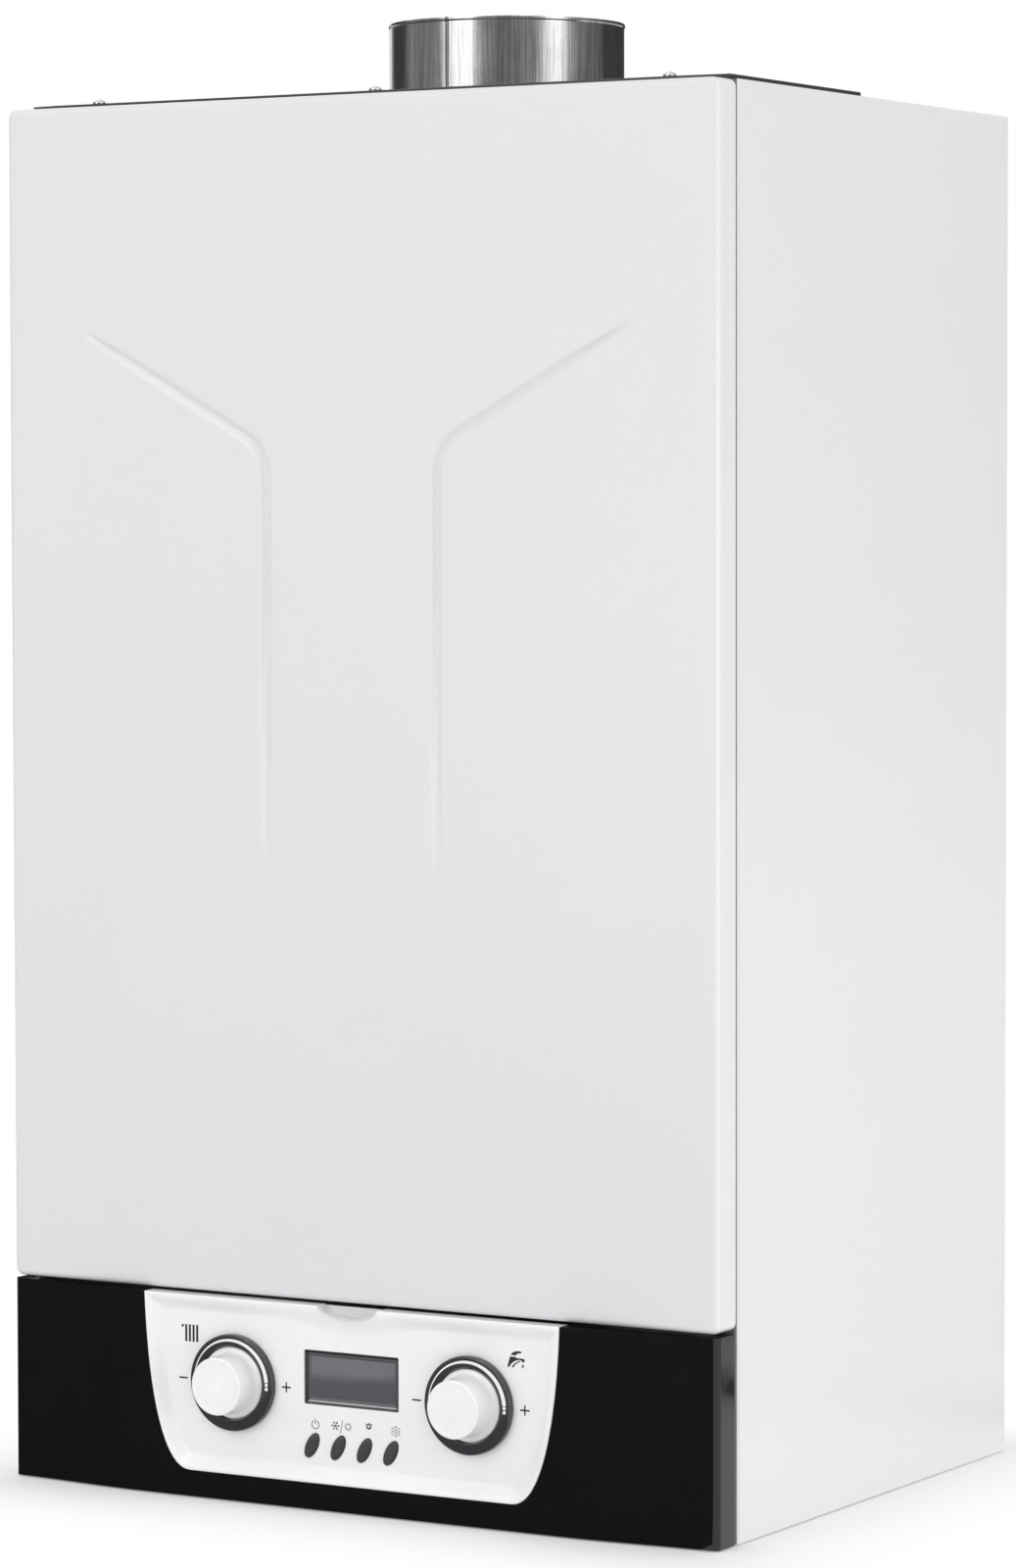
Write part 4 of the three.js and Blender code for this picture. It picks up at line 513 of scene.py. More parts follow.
# Gas valve: die-cast alloy body with milled faces, screwed on the gas tail.
# Its sides keep the fine grain of the mould.
def cast(name, tone, grain=0.0009, depth=0.00008, rough=0.38, metallic=1.0):
    """Cast metal: mould grain, flow clouds and rubbed edges of the clouds."""
    finish = Finish(name, Metallic=metallic)
    sand = finish.place.noise(grain, 3, 0.65)
    clouds = finish.place.noise(0.03, 4, 0.55)
    level = sand * 0.4 + clouds * 0.6
    finish.feed("Base Color", level.ramp(0.3, 0.7).shades(tone, 0.78, 1.1))
    finish.feed("Roughness", clouds * 0.2 + sand * 0.08 + rough - 0.14)
    finish.bump(sand, depth)
    return finish


ALLOY = (0.60, 0.60, 0.61)
mellowed("gas_valve", "cast", 0.6, cast("alloy_gas_valve", ALLOY), "cast_alloy", 3)

# Expansion vessel: two red-lacquered pressings crimped into one flat can, which hangs at the back.
# A thin copper pipe joins it to the return block.
VESSEL_RED = (0.42, 0.018, 0.015)
lacquer = powder_coat("red_lacquer", VESSEL_RED, 0.0015, 0.22)
mellowed("expansion_vessel", "pressed", 0.5, lacquer, "vessel_red", 3)
mellowed("vessel_pipe", "bent", 0.2, copper("copper_vessel_pipe", gloss=0.18), "copper")


# Water and gas tails: turned brass with hexagon nuts, held in the bottom rail.
# They stand out below for the pipes of the house.
def brass(name, tone=(0.78, 0.58, 0.30)):
    """Brass off the lathe: turning lines round it, and brown tarnish in patches."""
    finish = Finish(name, Metallic=1.0)
    lines = finish.place.noise(0.0005, 2, 0.5, (0.15, 0.15, 1))
    patches = finish.place.noise(0.016, 5, 0.6)
    dark = [tone[0] * 0.6, tone[1] * 0.5, tone[2] * 0.42]
    finish.feed("Base Color", patches.ramp(0.3, 0.62).over(dark, tone))
    finish.feed("Roughness", patches.ramp(0.65, 0.3, 0.16, 0.36) + lines * 0.08)
    finish.bump(lines * 0.7 + patches * 0.3, 0.00003)
    return finish


turned_brass = brass("brass_turned")
for node in ("heating_flow_tail", "hot_water_tail", "gas_tail", "cold_water_tail", "heating_return_tail"):
    mellowed(node, "turned", 0.4, turned_brass, "brass")

# Flow and return blocks: hot-pressed brass, with drilled and turned ports.
# They stand on the bottom rail and carry the plate exchanger between them.
PRESSED = (0.72, 0.53, 0.27)
pressed_brass = cast("brass_pressed", PRESSED, 0.0012, 0.0001, 0.4)
for node in ("flow_block", "return_block"):
    mellowed(node, "pressed", 0.8, pressed_brass, "brass", 3)

# Diverter drive: a black moulded motor housing, clipped on the flow block.
# It turns the water from the heating to the taps.
DRIVE_BLACK = (0.024, 0.024, 0.026)
housing = moulded("drive_black", DRIVE_BLACK, 0.36, 0.00004)
mellowed("diverter_drive", "housing", 0.8, housing, "dark_plastic", 3)


# Plate exchanger: thin stainless plates brazed into one pack, screwed to the flow and return blocks.
# The copper of the brazing shows at the seams, one every 2.4 mm.
SEAM_TURN = 2600


def brazed(name):
    """Pressed stainless plates whose brazed seams show as copper lines through the pack's depth."""
    finish = Finish(name, Metallic=1.0)
    seam = finish.place.sum("SINE", finish.place.axes()[1] * SEAM_TURN)
    patches = finish.place.noise(0.02, 4, 0.6)
    lines = finish.place.noise(0.0008, 2, 0.5, (1, 0.1, 1))
    steel = patches.over([0.46, 0.45, 0.44], [0.62, 0.61, 0.60])
    finish.feed("Base Color", seam.ramp(0.55, 0.9).over(steel, (0.52, 0.27, 0.17)))
    finish.feed("Roughness", patches * 0.2 + lines * 0.08 + 0.18)
    finish.bump(lines * 0.3 + seam * 0.7, 0.00005)
    return finish


mellowed("plate_exchanger", "brazed", 0.5, brazed("plates_brazed"), "stainless", 3)

# Pump: a cast housing with cooling fins, dark enamelled, on top of the return block.
# It drives the heating water round.
ENAMEL = (0.055, 0.07, 0.08)
mellowed("pump", "cast", 0.6, cast("pump_enamel", ENAMEL, 0.0012, 0.00012, 0.42, 0.2), "pump_body")

# Air vent: a small brass bottle, turned and screwed into the pump.
# It lets air out of the heating water on its own.
VENT_BRASS = (0.74, 0.56, 0.32)
mellowed("air_vent", "turned", 0.4, brass("brass_vent", VENT_BRASS), "brass")

# Flow and return pipes: drawn copper tubes, bent and fastened with nuts.
# They run between the heat exchanger above and the blocks below.
pipe_finish = copper("copper_pipes", gloss=0.17)
for node in ("flow_pipe", "return_pipe"):
    mellowed(node, "bent", 0.2, pipe_finish, "copper")

# Safety valve: pressed brass with a ribbed red cap.
# The cap is turned by hand to try the valve.
CAP_RED = (0.50, 0.018, 0.014)
mellowed("safety_valve", "pressed", 0.5, pressed_brass, "brass", 3)
cap = eased(copied("safety_cap_ribbed", "safety_valve_cap"), 0.4, 2, 35)
settled(cap, moulded("cap_red", CAP_RED, 0.3, 0.00003), "safety_cap", "cap_red", "safety_valve_cap")

# Filling knob: a black moulding under the bottom rail, on a spindle that goes up through it.
# It lets house water into the heating.
FILLING_BLACK = (0.02, 0.02, 0.022)
filling = moulded("filling_black", FILLING_BLACK, 0.3, 0.00003)
mellowed("filling_knob", "moulded", 0.5, filling, "dark_plastic", 3, "filling_tap")

# Top covers: dark painted sheet in front, and bare zinc-coated sheet behind it round the flue.
# The front one starts a little behind the front panel and lies over the side panels' edges.
# The rear one is thinner and lies between them.
COVER_UPPER, COVER_FRONT, COVER_SIDE = 721.5, -146, 200
WIDER, SHORTER, THINNER, REAR_THINNER = 5.5, 7, 0.6, 1.1
DARK_PAINT = (0.045, 0.047, 0.052)
front_cover = copied("top_cover_front_sheet", "top_cover_front")
for vertex in front_cover.data.vertices:
    x, y, z = vertex.co / MM
    at_side = abs(x) > COVER_SIDE
    vertex.co.x += math.copysign(WIDER, x) * MM if at_side else 0
    vertex.co.y += SHORTER * MM if y < COVER_FRONT else 0
    vertex.co.z -= THINNER * MM if z > COVER_UPPER and not at_side else 0
eased(front_cover, 0.3)
painted = powder_coat("dark_paint", DARK_PAINT, 0.001, 0.34)
settled(front_cover, painted, "casing", "dark_cover", "top_cover_front")
rear_cover = copied("top_cover_rear_sheet", "top_cover_rear")
for vertex in rear_cover.data.vertices:
    vertex.co.z -= REAR_THINNER * MM if vertex.co.z / MM > COVER_UPPER else 0
eased(rear_cover, 0.3)
settled(rear_cover, zinc_sheet("zinc_top", 0.6, 0.02), "casing", "zinc_steel", "top_cover_rear")

# Top screws: three domed heads with cross recesses, zinc-plated and bright.
# They hold the front cover down on the casing.
# A recess step is half a slot's length, half its width and its height.
PLATING = (0.5, 0.5, 0.49)
SCREWS_X = (-170.5, 0, 170.5)
SCREW_Y = -128
SHANK, HEAD = 1.9, 3.3
SHANK_FOOT, HEAD_FOOT, HEAD_TOP = 712.9, 722.5, 725.35
RECESS_TURN = 0.4
RECESS_STEPS = ((1.2, 0.3, 723.6), (2.1, 0.45, 726))
plated = cast("zinc_plating", PLATING, 0.0006, 0.00001, 0.14)
head = rounded([(0, SHANK_FOOT, 0), (SHANK, SHANK_FOOT, 0.3), (SHANK, HEAD_FOOT, 0), (HEAD, HEAD_FOOT, 0.3),
                (HEAD, 724.0, 1.3), (1.6, 725.2, 1.5), (0, HEAD_TOP, 0)], 5)
for number, x in enumerate(SCREWS_X, 1):
    screw = turned("screw_%d" % number, head, (x, SCREW_Y, 0), "Z", 48)
    slots = []
    for turn in (RECESS_TURN, RECESS_TURN + math.pi / 2):
        reach = Vector((math.cos(turn), math.sin(turn)))
        wide = Vector((-reach.y, reach.x))
        shape = []
        for along, across, high in RECESS_STEPS:
            corners = [reach * along + wide * across, wide * across - reach * along]
            corners += [-point for point in corners]
            shape.append([(x + point.x, SCREW_Y + point.y, high) for point in corners])
        slots.append(lofted("recess", shape))
    carved(screw, *slots)
    settled(screw, plated, "casing", "screw_chrome", "top_screw_%d" % number, angle=40)


# Control fascia: a black moulding with a polished face, which swells forwards between its ends.
# Its long edges are just broken, so that they catch a thin line of light.
BLACK = (0.006, 0.006, 0.0065)
fascia = eased(copied("fascia_moulding", "fascia"), 0.8, 3, 40)
polished = moulded("black_gloss", BLACK, 0.07, 0.000012)
settled(fascia, polished, "control_fascia", "fascia_black", "fascia")

# White control panel: polished white moulding, its sides drawn in by a curve towards the foot.
# A rim stands all round, and sloping borders lead down from it to a flat field.
# The upper border dips under the finger cup.
PANEL_WHITE = (0.893, 0.903, 0.917)
RIM_Y, FIELD_Y, PANEL_BACK = -159.5, -155.5, -150.5
TOP_HALF, FOOT_HALF, TOP_Z, FOOT_Z = 124.8, 97, 105, 13.4
BAND, LIP, HEM = 9.0, 1.0, 0.8
BROW_DIP, BROW_REACH = 5.5, 46
CURVE_OUT, CURVE_RISE, CURVE_IN = 0.932, 0.452, 0.612
PANEL_WALL, FIELD_THICK = 2.5, 2.4


def evenly(points, count):
    """The same line with that many points, evenly spaced."""
    lengths = [(b - a).length for a, b in zip(points, points[1:])]
    spaced = []
    for n in range(count):
        goal = sum(lengths) * n / (count - 1)
        leg = 0
        while leg < len(lengths) - 1 and goal > lengths[leg]:
            goal -= lengths[leg]
            leg += 1
        spaced.append(points[leg].lerp(points[leg + 1], min(1, goal / lengths[leg])))
    return spaced


def panel_ring(inset, y, dip=0.0):
    """The outline moved inwards: right side, foot, left side and upper edge, which dips in its middle."""
    spread, rise = TOP_HALF - FOOT_HALF, TOP_Z - FOOT_Z
    a, b = Vector((TOP_HALF, TOP_Z)), Vector((FOOT_HALF + spread * CURVE_OUT, FOOT_Z + rise * CURVE_RISE))
    c, d = Vector((FOOT_HALF + spread * CURVE_IN, FOOT_Z)), Vector((FOOT_HALF, FOOT_Z))
    side = []
    for t in (n / 60 for n in range(61)):
        place = a * (1 - t) ** 3 + b * (3 * t * (1 - t) ** 2) + c * (3 * t * t * (1 - t)) + d * t ** 3
        way = ((b - a) * (1 - t) ** 2 + (c - b) * (2 * t * (1 - t)) + (d - c) * t * t).normalized()
        moved = place + Vector((way.y, -way.x)) * inset
        if not side or (moved - side[-1]).dot(way) > 0:
            side.append(moved)
    level = TOP_Z - inset
    first = next(n for n, point in enumerate(side) if point.y < level)
    above, below = (side[first - 1], side[first]) if first else (side[0] + (side[0] - side[1]), side[0])
    corner = below.lerp(above, (level - below.y) / (above.y - below.y))
    side = evenly([corner] + side[first:], 37)
    foot = evenly([side[-1], Vector((-side[-1].x, side[-1].y))], 25)[1:-1]
    left = [Vector((-point.x, point.y)) for point in reversed(side)]
    top = evenly([left[-1], side[0]], 61)[1:-1]
    ring = [(point.x, y, point.y) for point in side + foot + left]
    for point in top:
        sway = (1 + math.cos(math.pi * min(1, abs(point.x) / BROW_REACH))) / 2
        ring.append((point.x, y, point.y - BROW_DIP * dip * sway))
    return ring


rings = [panel_ring(PANEL_WALL, FIELD_Y + FIELD_THICK), panel_ring(PANEL_WALL, PANEL_BACK)]
rings += [panel_ring(0, PANEL_BACK), panel_ring(0, RIM_Y + HEM)]
for t in (0.5, 1.0, math.pi / 2):
    rings.append(panel_ring(HEM * (1 - math.cos(t)), RIM_Y + HEM * (1 - math.sin(t))))
rings.append(panel_ring(LIP, RIM_Y))
for n in range(1, 13):
    t = n / 12
    soft = t * t * (3 - 2 * t)
    rings.append(panel_ring(LIP + (BAND - LIP) * t, RIM_Y + (FIELD_Y - RIM_Y) * soft, t))
rings += [panel_ring(BAND + 3.5, FIELD_Y, 0.5), panel_ring(BAND + 7, FIELD_Y)]
control = lofted("control_panel_moulding", rings)
LEAN = math.radians(28)
BUTTONS_X = (-23.745, -7.915, 7.915, 23.745)
BUTTON_Z = 32.2
BUTTON_LONG, BUTTON_SHORT = 6.9, 3.3


def oval(x, grow, sides=40):
    """A button's leaning outline, grown by that much all round."""
    points = []
    for n in range(sides):
        angle = 2 * math.pi * n / sides
        a, b = (BUTTON_LONG + grow) * math.sin(angle), (BUTTON_SHORT + grow) * math.cos(angle)
        across = x + b * math.cos(LEAN) + a * math.sin(LEAN)
        points.append((across, BUTTON_Z - b * math.sin(LEAN) + a * math.cos(LEAN)))
    return points


def prism(name, points, y0, y1):
    """An outline of (x, z) drawn straight from y0 to y1."""
    return lofted(name, [[(x, y, z) for x, z in points] for y in (y0, y1)])


def plate_outline(half_x, half_z, z, radius, steps=5):
    """An upright plate's outline with rounded corners, its middle at that height."""
    points = []
    for quarter in range(4):
        cx = (half_x - radius) * (1 if quarter in (0, 3) else -1)
        cz = (half_z - radius) * (1 if quarter in (0, 1) else -1)
        for k in range(steps + 1):
            angle = math.pi / 2 * (quarter + k / steps)
            points.append((cx + radius * math.cos(angle), z + cz + radius * math.sin(angle)))
    return points


WINDOW_Z, WINDOW_HALF_X, WINDOW_HALF_Z = 67.4, 28.2, 13.7
CUT_START, CUT_END = FIELD_Y - 3, FIELD_Y + 4
NAIL_HALF, NAIL_DEEP = 18, 6.6
BUTTON_GAP, WINDOW_GAP = 0.35, 0.3
holes = [prism("button_hole", oval(x, BUTTON_GAP), CUT_START, CUT_END) for x in BUTTONS_X]
view = plate_outline(WINDOW_HALF_X + WINDOW_GAP, WINDOW_HALF_Z + WINDOW_GAP, WINDOW_Z, 0.8)
view_hole = prism("view_hole", view, CUT_START, CUT_END)
turns = [math.pi * (1 + n / 36) for n in range(1, 36)]
nail = [(NAIL_HALF * math.cos(turn), TOP_Z + NAIL_DEEP * math.sin(turn)) for turn in turns]
nail += [(NAIL_HALF, TOP_Z + 3), (-NAIL_HALF, TOP_Z + 3)]
nail_hole = prism("nail_hole", nail, RIM_Y - 2, PANEL_BACK + 2)
carved(control, *holes, view_hole, nail_hole)
white_gloss = moulded("white_gloss", PANEL_WHITE, 0.16, 0.000012)
settled(control, white_gloss, "control_fascia", "control_white", "control_panel", angle=28)

# Finger cup: a clear grey moulding set into the panel's upper edge.
# A fingertip in it pulls the fascia forwards.
CUP_GREY = (0.78, 0.785, 0.79)
NODE_TOP, CUP_TOP, CUP_SHARE = 104.4, 104.6, 0.74
cup = copied("finger_cup_clear", "finger_cup")
for vertex in cup.data.vertices:
    vertex.co.z = CUP_TOP * MM - (NODE_TOP * MM - vertex.co.z) * CUP_SHARE
eased(cup, 0.3, 2, 40)
cup_finish = moulded("cup_grey", CUP_GREY, 0.1, 0.00001, Specular_IOR_Level=0.6, Transmission_Weight=0.1)
settled(cup, cup_finish, "control_fascia", "cup_clear", "finger_cup")


# Knob rings: polished dark grey mouldings, pressed into the panel.
# Each has a printed arc that grows from a hair line to a band, and two dots at the arc's end.
KNOBS_X = (-71.0, 71.0)
KNOB_Z, SEAT_Y = 61.0, -155.8
RING_GREY, PRINT_WHITE = (0.04, 0.041, 0.045), (0.86, 0.87, 0.88)
SCALE, DOT, SCALE_Y = 0.0222, 0.00095, -0.15925
SCALE_THIN, SCALE_THICK, SCALE_START, SCALE_END = 0.00025, 0.0011, 0.085, math.pi - 0.09
DOT_TURNS = (0.03, -0.067)
ring_lines = rounded([(19.4, 0, 0), (19.4, -4.0, 0.5), (20.0, -4.0, 0.3), (24.4, -4.0, 0.5),
                      (25.1, -3.2, 0.6), (25.1, 0, 0)])


def ring_finish(x0):
    """Dark grey moulding with the scale printed on the face of the ring at x0."""
    finish = moulded("ring_grey_%d" % (x0 > 0), RING_GREY, 0.12, 0.00001)
    x, y, z = finish.place.axes()
    dx, dz = x - x0 * MM, z - KNOB_Z * MM
    radius = (dx * dx + dz * dz) ** 0.5
    angle = finish.place.sum("ARCTAN2", dz, dx)
    growth = angle.ramp(math.pi, 0.1, SCALE_THIN, SCALE_THICK)
    scale = abs(radius - SCALE).below(growth) * angle.above(SCALE_START) * angle.below(SCALE_END)
    for turn in DOT_TURNS:
        px, pz = SCALE * math.cos(turn), SCALE * math.sin(turn)
        dot = ((dx - px) * (dx - px) + (dz - pz) * (dz - pz)).below(DOT ** 2)
        scale = scale.sum("MAXIMUM", scale, dot)
    finish.mark(scale * y.below(SCALE_Y), PRINT_WHITE)
    return finish


for x, side in zip(KNOBS_X, ("left", "right")):
    ring = turned("ring_" + side, ring_lines, (x, SEAT_Y, KNOB_Z), "Y", 128, closed=True)
    settled(ring, ring_finish(x), "control_fascia", "ring_grey", "knob_ring_" + side, angle=50)

# Knobs: satin white mouldings pushed on their shafts, each with a raised pointer on its skirt.
# The left one sets the heating and the right one the hot water.
KNOB_WHITE = (0.888, 0.896, 0.905)
POINTER_TIP, POINTER_ROOT, TIP_HALF, ROOT_HALF = 18.3, 14.7, 0.9, 0.5
POINTER_Y = (-157.0, -158.9)
knob_lines = rounded([(0, 0, 0), (18.6, 0, 0), (18.6, -2.6, 0.9), (15.6, -3.3, 2.4), (14.9, -17.7, 1.5),
                      (13.2, -17.75, 0.3), (12.9, -17.55, 0.3), (0, -17.5, 0)], 6)
knob_finish = moulded("knob_white", KNOB_WHITE, 0.2, 0.00001, Specular_IOR_Level=0.45)
for x, side, use in zip(KNOBS_X, ("left", "right"), ("heating", "hot_water")):
    knob = turned("knob_" + side, knob_lines, (x, SEAT_Y, KNOB_Z), "Y", 128)
    tip, root = x - POINTER_TIP, x - POINTER_ROOT
    wedge = []
    for y in POINTER_Y:
        corners = [(tip, -TIP_HALF), (tip, TIP_HALF), (root, ROOT_HALF), (root, -ROOT_HALF)]
        wedge.append([(across, y, KNOB_Z + rise) for across, rise in corners])
    knob = joined(knob, eased(lofted("pointer", wedge), 0.3))
    settled(knob, knob_finish, use + "_control", "knob_white", use + "_knob", angle=40)

# Push buttons: soft dark grey ovals, leaning, each a little crowned.
# Each slides in its own hole in the panel, on the circuit board's switch behind it.
BUTTON_GREY = (0.052, 0.053, 0.057)
BUTTON_STEPS = ((-0.1, -151.5), (-0.1, -156.1), (-0.3, -156.55), (-0.8, -156.8), (-1.6, -156.9),
                (-2.4, -156.95))
button_finish = moulded("button_dark", BUTTON_GREY, 0.42, 0.00003, 0.0005, Specular_IOR_Level=0.4)
for x, key in zip(BUTTONS_X, ("power", "season", "economy", "settings")):
    rings = [[(px, y, pz) for px, pz in oval(x, grow)] for grow, y in BUTTON_STEPS]
    button = lofted(key + "_button_oval", rings)
    settled(button, button_finish, key + "_key", "button_grey", key + "_button", angle=50)

# Display: a smoked window whose bevelled frame leads down to the grey field of the screen.
# It's clipped into the panel from behind.
# Light and shade are painted on it: shade on the frame's top and left, a highlight along its bottom bevel,
# and a reflection on the field, lighter at the top and left.
FRAME_LIT, FRAME_SHADE, BEVEL_HIGHLIGHT = (0.09, 0.092, 0.096), (0.03, 0.03, 0.032), (0.55, 0.55, 0.57)
SCREEN_GREY, SCREEN_REFLECTION_LOW, SCREEN_REFLECTION_HIGH = (0.1, 0.102, 0.11), (0.098, 0.101, 0.109), (0.172, 0.177, 0.19)
SCREEN_HALF_X, SCREEN_HALF_Z, SHADE_X, SHADE_Z = 0.0252, 0.0107, -0.0262, 0.0796
BEVEL_HIGHLIGHT_Z, BEVEL_HIGHLIGHT_HALF_X, BEVEL_HIGHLIGHT_HALF_Z = 0.0551, 0.0262, 0.00028
TRAY_STEPS = ((0.0, -152.9), (0.0, -154.7), (0.3, -154.9), (0.7, -154.9), (1.5, -154.3), (1.9, -154.5),
              (3.0, -153.7), (3.3, -153.65))
rings = []
for step, y in TRAY_STEPS:
    outline = plate_outline(WINDOW_HALF_X - step, WINDOW_HALF_Z - step, WINDOW_Z, 0.7)
    rings.append([(x, y, z) for x, z in outline])
tray = lofted("display_tray", rings)
screen = moulded("screen_grey", SCREEN_GREY, 0.1, 0.00001)
x, y, z = screen.place.axes()
rise = z - WINDOW_Z * MM
inside = abs(x).below(SCREEN_HALF_X) * abs(rise).below(SCREEN_HALF_Z)
# The field's painted reflection grows lighter towards the top and left.
sweep = rise * 90 - x * 4 + screen.place.noise(0.012, 2) * 0.25
painted_reflection = sweep.ramp(-0.1, 0.5).over(SCREEN_REFLECTION_LOW, SCREEN_REFLECTION_HIGH)
# The frame is painted darker along its top and left, as painted shade.
shaded = z.sum("MAXIMUM", z.above(SHADE_Z), x.below(SHADE_X))
screen.feed("Base Color", inside.over(shaded.over(FRAME_LIT, FRAME_SHADE), painted_reflection))
# A pale line along the bottom bevel is a painted highlight.
screen.mark(abs(z - BEVEL_HIGHLIGHT_Z).below(BEVEL_HIGHLIGHT_HALF_Z) * abs(x).below(BEVEL_HIGHLIGHT_HALF_X), BEVEL_HIGHLIGHT)
settled(tray, screen, "control_fascia", "window_grey", "display_window", angle=20)


# Circuit board: green laminate with tracks, and the dark housings of its switches.
# It stands behind the panel, screwed into the control box.
BOARD_Y = -0.1405


def laminate(name):
    """Solder mask with copper tracks beneath it. What stands on the board is dark moulding."""
    finish = Finish(name)
    tracks = finish.place.cells(0.006, "DISTANCE_TO_EDGE", 0, (1, 0, 1)).below(0.06)
    pads = finish.place.cells(0.0035, stretch=(1, 0, 1)).below(0.2)
    mask = finish.place.noise(0.02, 3).over([0.012, 0.10, 0.035], [0.016, 0.13, 0.045])
    wired = tracks.over(mask, (0.03, 0.19, 0.07))
    soldered = pads.over(wired, (0.55, 0.55, 0.52))
    board = finish.place.axes()[1].above(BOARD_Y)
    finish.feed("Base Color", board.over((0.03, 0.03, 0.032), soldered))
    finish.feed("Roughness", finish.place.noise(0.004, 3) * 0.15 + 0.3)
    finish.bump(tracks * board, 0.00005)
    return finish


mellowed("circuit_board", "fitted", 0.2, laminate("board_green"), "board_green", 1, "control_fascia")

# Control box and cable gland: a grey moulded cover over the board, screwed to the fascia.
# The cables go through a ribbed black grommet in its back.
BOX_GREY, GLAND_BLACK = (0.24, 0.245, 0.25), (0.02, 0.02, 0.021)
box_finish = moulded("box_grey", BOX_GREY, 0.4, 0.00004)
mellowed("control_box", "moulded", 0.8, box_finish, "box_grey", 3, "control_fascia")
gland_finish = moulded("gland_black", GLAND_BLACK, 0.45, 0.00003)
mellowed("cable_gland", "moulded", 0.3, gland_finish, "dark_plastic", 2, "control_fascia")

# Printed marks on the control panel: grey ink, a few hundredths of a millimetre proud of the field.
# A radiator and a tap show what the knobs turn, with minus and plus at the ends of their travel.
# Small signs stand over the four buttons.
INK, PALE_INK = (0.022, 0.023, 0.025), (0.11, 0.114, 0.122)
INK_PROUD, INK_SUNK = 0.04, 0.02


def stroke(start, end, width):
    """A straight printed line, as an outline."""
    a, b = Vector(start), Vector(end)
    along = (b - a).normalized() * 0.5
    wide = Vector((-along.y, along.x)) * width
    return [tuple(point) for point in (a - wide, b - wide, b + wide, a + wide)]


def arc_band(centre, radius, width, start=0.0, sweep=359.0, waves=0, swell=0.0, steps=48):
    """A printed ring or part of one, with as many waves as asked for round it, as an outline."""
    outer, inner = [], []
    for n in range(steps + 1):
        angle = math.radians(start + sweep * n / steps)
        reach = radius + swell * math.cos(waves * (angle - math.pi / 2))
        for side, far in ((outer, reach + width / 2), (inner, reach - width / 2)):
            side.append((centre[0] + far * math.cos(angle), centre[1] + far * math.sin(angle)))
    return outer + inner[::-1]


def spot(centre, radius, sides=16):
    """A printed dot, as an outline."""
    turns = [2 * math.pi * n / sides for n in range(sides)]
    return [(centre[0] + radius * math.cos(turn), centre[1] + radius * math.sin(turn)) for turn in turns]


def rays(centre, count, inner, outer, width):
    """Printed strokes all round a middle, as outlines."""
    strokes = []
    for n in range(count):
        way = Vector((math.cos(2 * math.pi * n / count), math.sin(2 * math.pi * n / count)))
        strokes.append(stroke(Vector(centre) + way * inner, Vector(centre) + way * outer, width))
    return strokes


BAR_X, BAR_PITCH, SIGN_WIDTH, SIGN_Z = -101, 2.27, 0.85, 60.8
radiator = [stroke((BAR_X + BAR_PITCH * n, 79.9), (BAR_X + BAR_PITCH * n, 88.8), 1.3) for n in range(4)]
radiator.append(spot((-103.2, 88.0), 0.75))
signs = []
for x in KNOBS_X:
    signs.append(stroke((x - 34.5, SIGN_Z), (x - 29.2, SIGN_Z), SIGN_WIDTH))
    signs.append(stroke((x + 29, SIGN_Z), (x + 34.4, SIGN_Z), SIGN_WIDTH))
    signs.append(stroke((x + 31.7, 58.2), (x + 31.7, 63.4), SIGN_WIDTH))
handle = [(94.5, 88.2), (95.5, 89.4), (97.0, 90.1), (98.6, 90.4), (100.7, 90.2), (100.6, 89.3), (99.1, 89.3),
          (98.0, 88.8), (97.3, 88.0)]
spout = [(94.1, 87.4), (97.2, 87.3), (98.3, 86.8), (100.5, 86.8), (102.6, 86.6), (102.4, 85.1), (101.5, 84.8),
         (101.0, 85.6), (99.7, 86.0), (98.0, 85.7), (96.3, 84.9), (94.7, 83.6), (93.6, 82.0), (92.6, 82.0),
         (93.1, 84.0), (93.6, 85.8)]
pipe = [(95.0, 82.0), (96.1, 83.5), (97.4, 84.5), (98.8, 85.3), (100.2, 85.6), (100.2, 85.1), (99.1, 84.8),
        (97.9, 84.1), (96.9, 83.2), (96.2, 82.0)]
drop = [(101.6, 84.2), (102.2, 82.9), (101.8, 82.0), (101.2, 82.0), (100.8, 82.9)]
POWER, SNOW, SUN, LEAF, GEAR = (-21.7, 43.1), (-9.5, 43.5), (-1.9, 43.5), (10.6, 45.0), (26.7, 43.6)
power = [arc_band(POWER, 2.15, 0.5, 120, 300), stroke((-21.7, 43.4), (-21.7, 45.9), 0.5)]
snow = [spot(SNOW, 0.6, 8), *rays(SNOW, 6, 0.8, 2.2, 0.42)]
for n in range(6):
    way = Vector((math.cos(math.pi * n / 3), math.sin(math.pi * n / 3)))
    snow.append(spot(tuple(Vector(SNOW) + way * 1.85), 0.5, 8))
sun = [stroke((-6.6, 39.8), (-5.1, 46.5), 0.42), arc_band(SUN, 1.35, 0.42, steps=24)]
sun += rays(SUN, 12, 1.75, 2.35, 0.28)
leaf = [arc_band(LEAF, 1.3, 0.85, 195, 150, steps=16)]
leaf.append([(10.6, 47.0), (11.2, 45.9), (10.6, 45.0), (10.0, 45.9)])
for side in (-1, 1):
    petal = ((1.9, 46.1), (1.0, 46.2), (0.4, 44.7), (1.5, 45.1))
    leaf.append([(LEAF[0] + side * across, z) for across, z in petal])
gear = [arc_band(GEAR, 2.3, 0.4, waves=6, swell=0.4, steps=72), arc_band(GEAR, 0.85, 0.4, steps=20)]
dark_marks = [*radiator, *signs, handle, spout, pipe, *snow, *leaf]
pale_marks = [drop, *power, *sun, *gear]
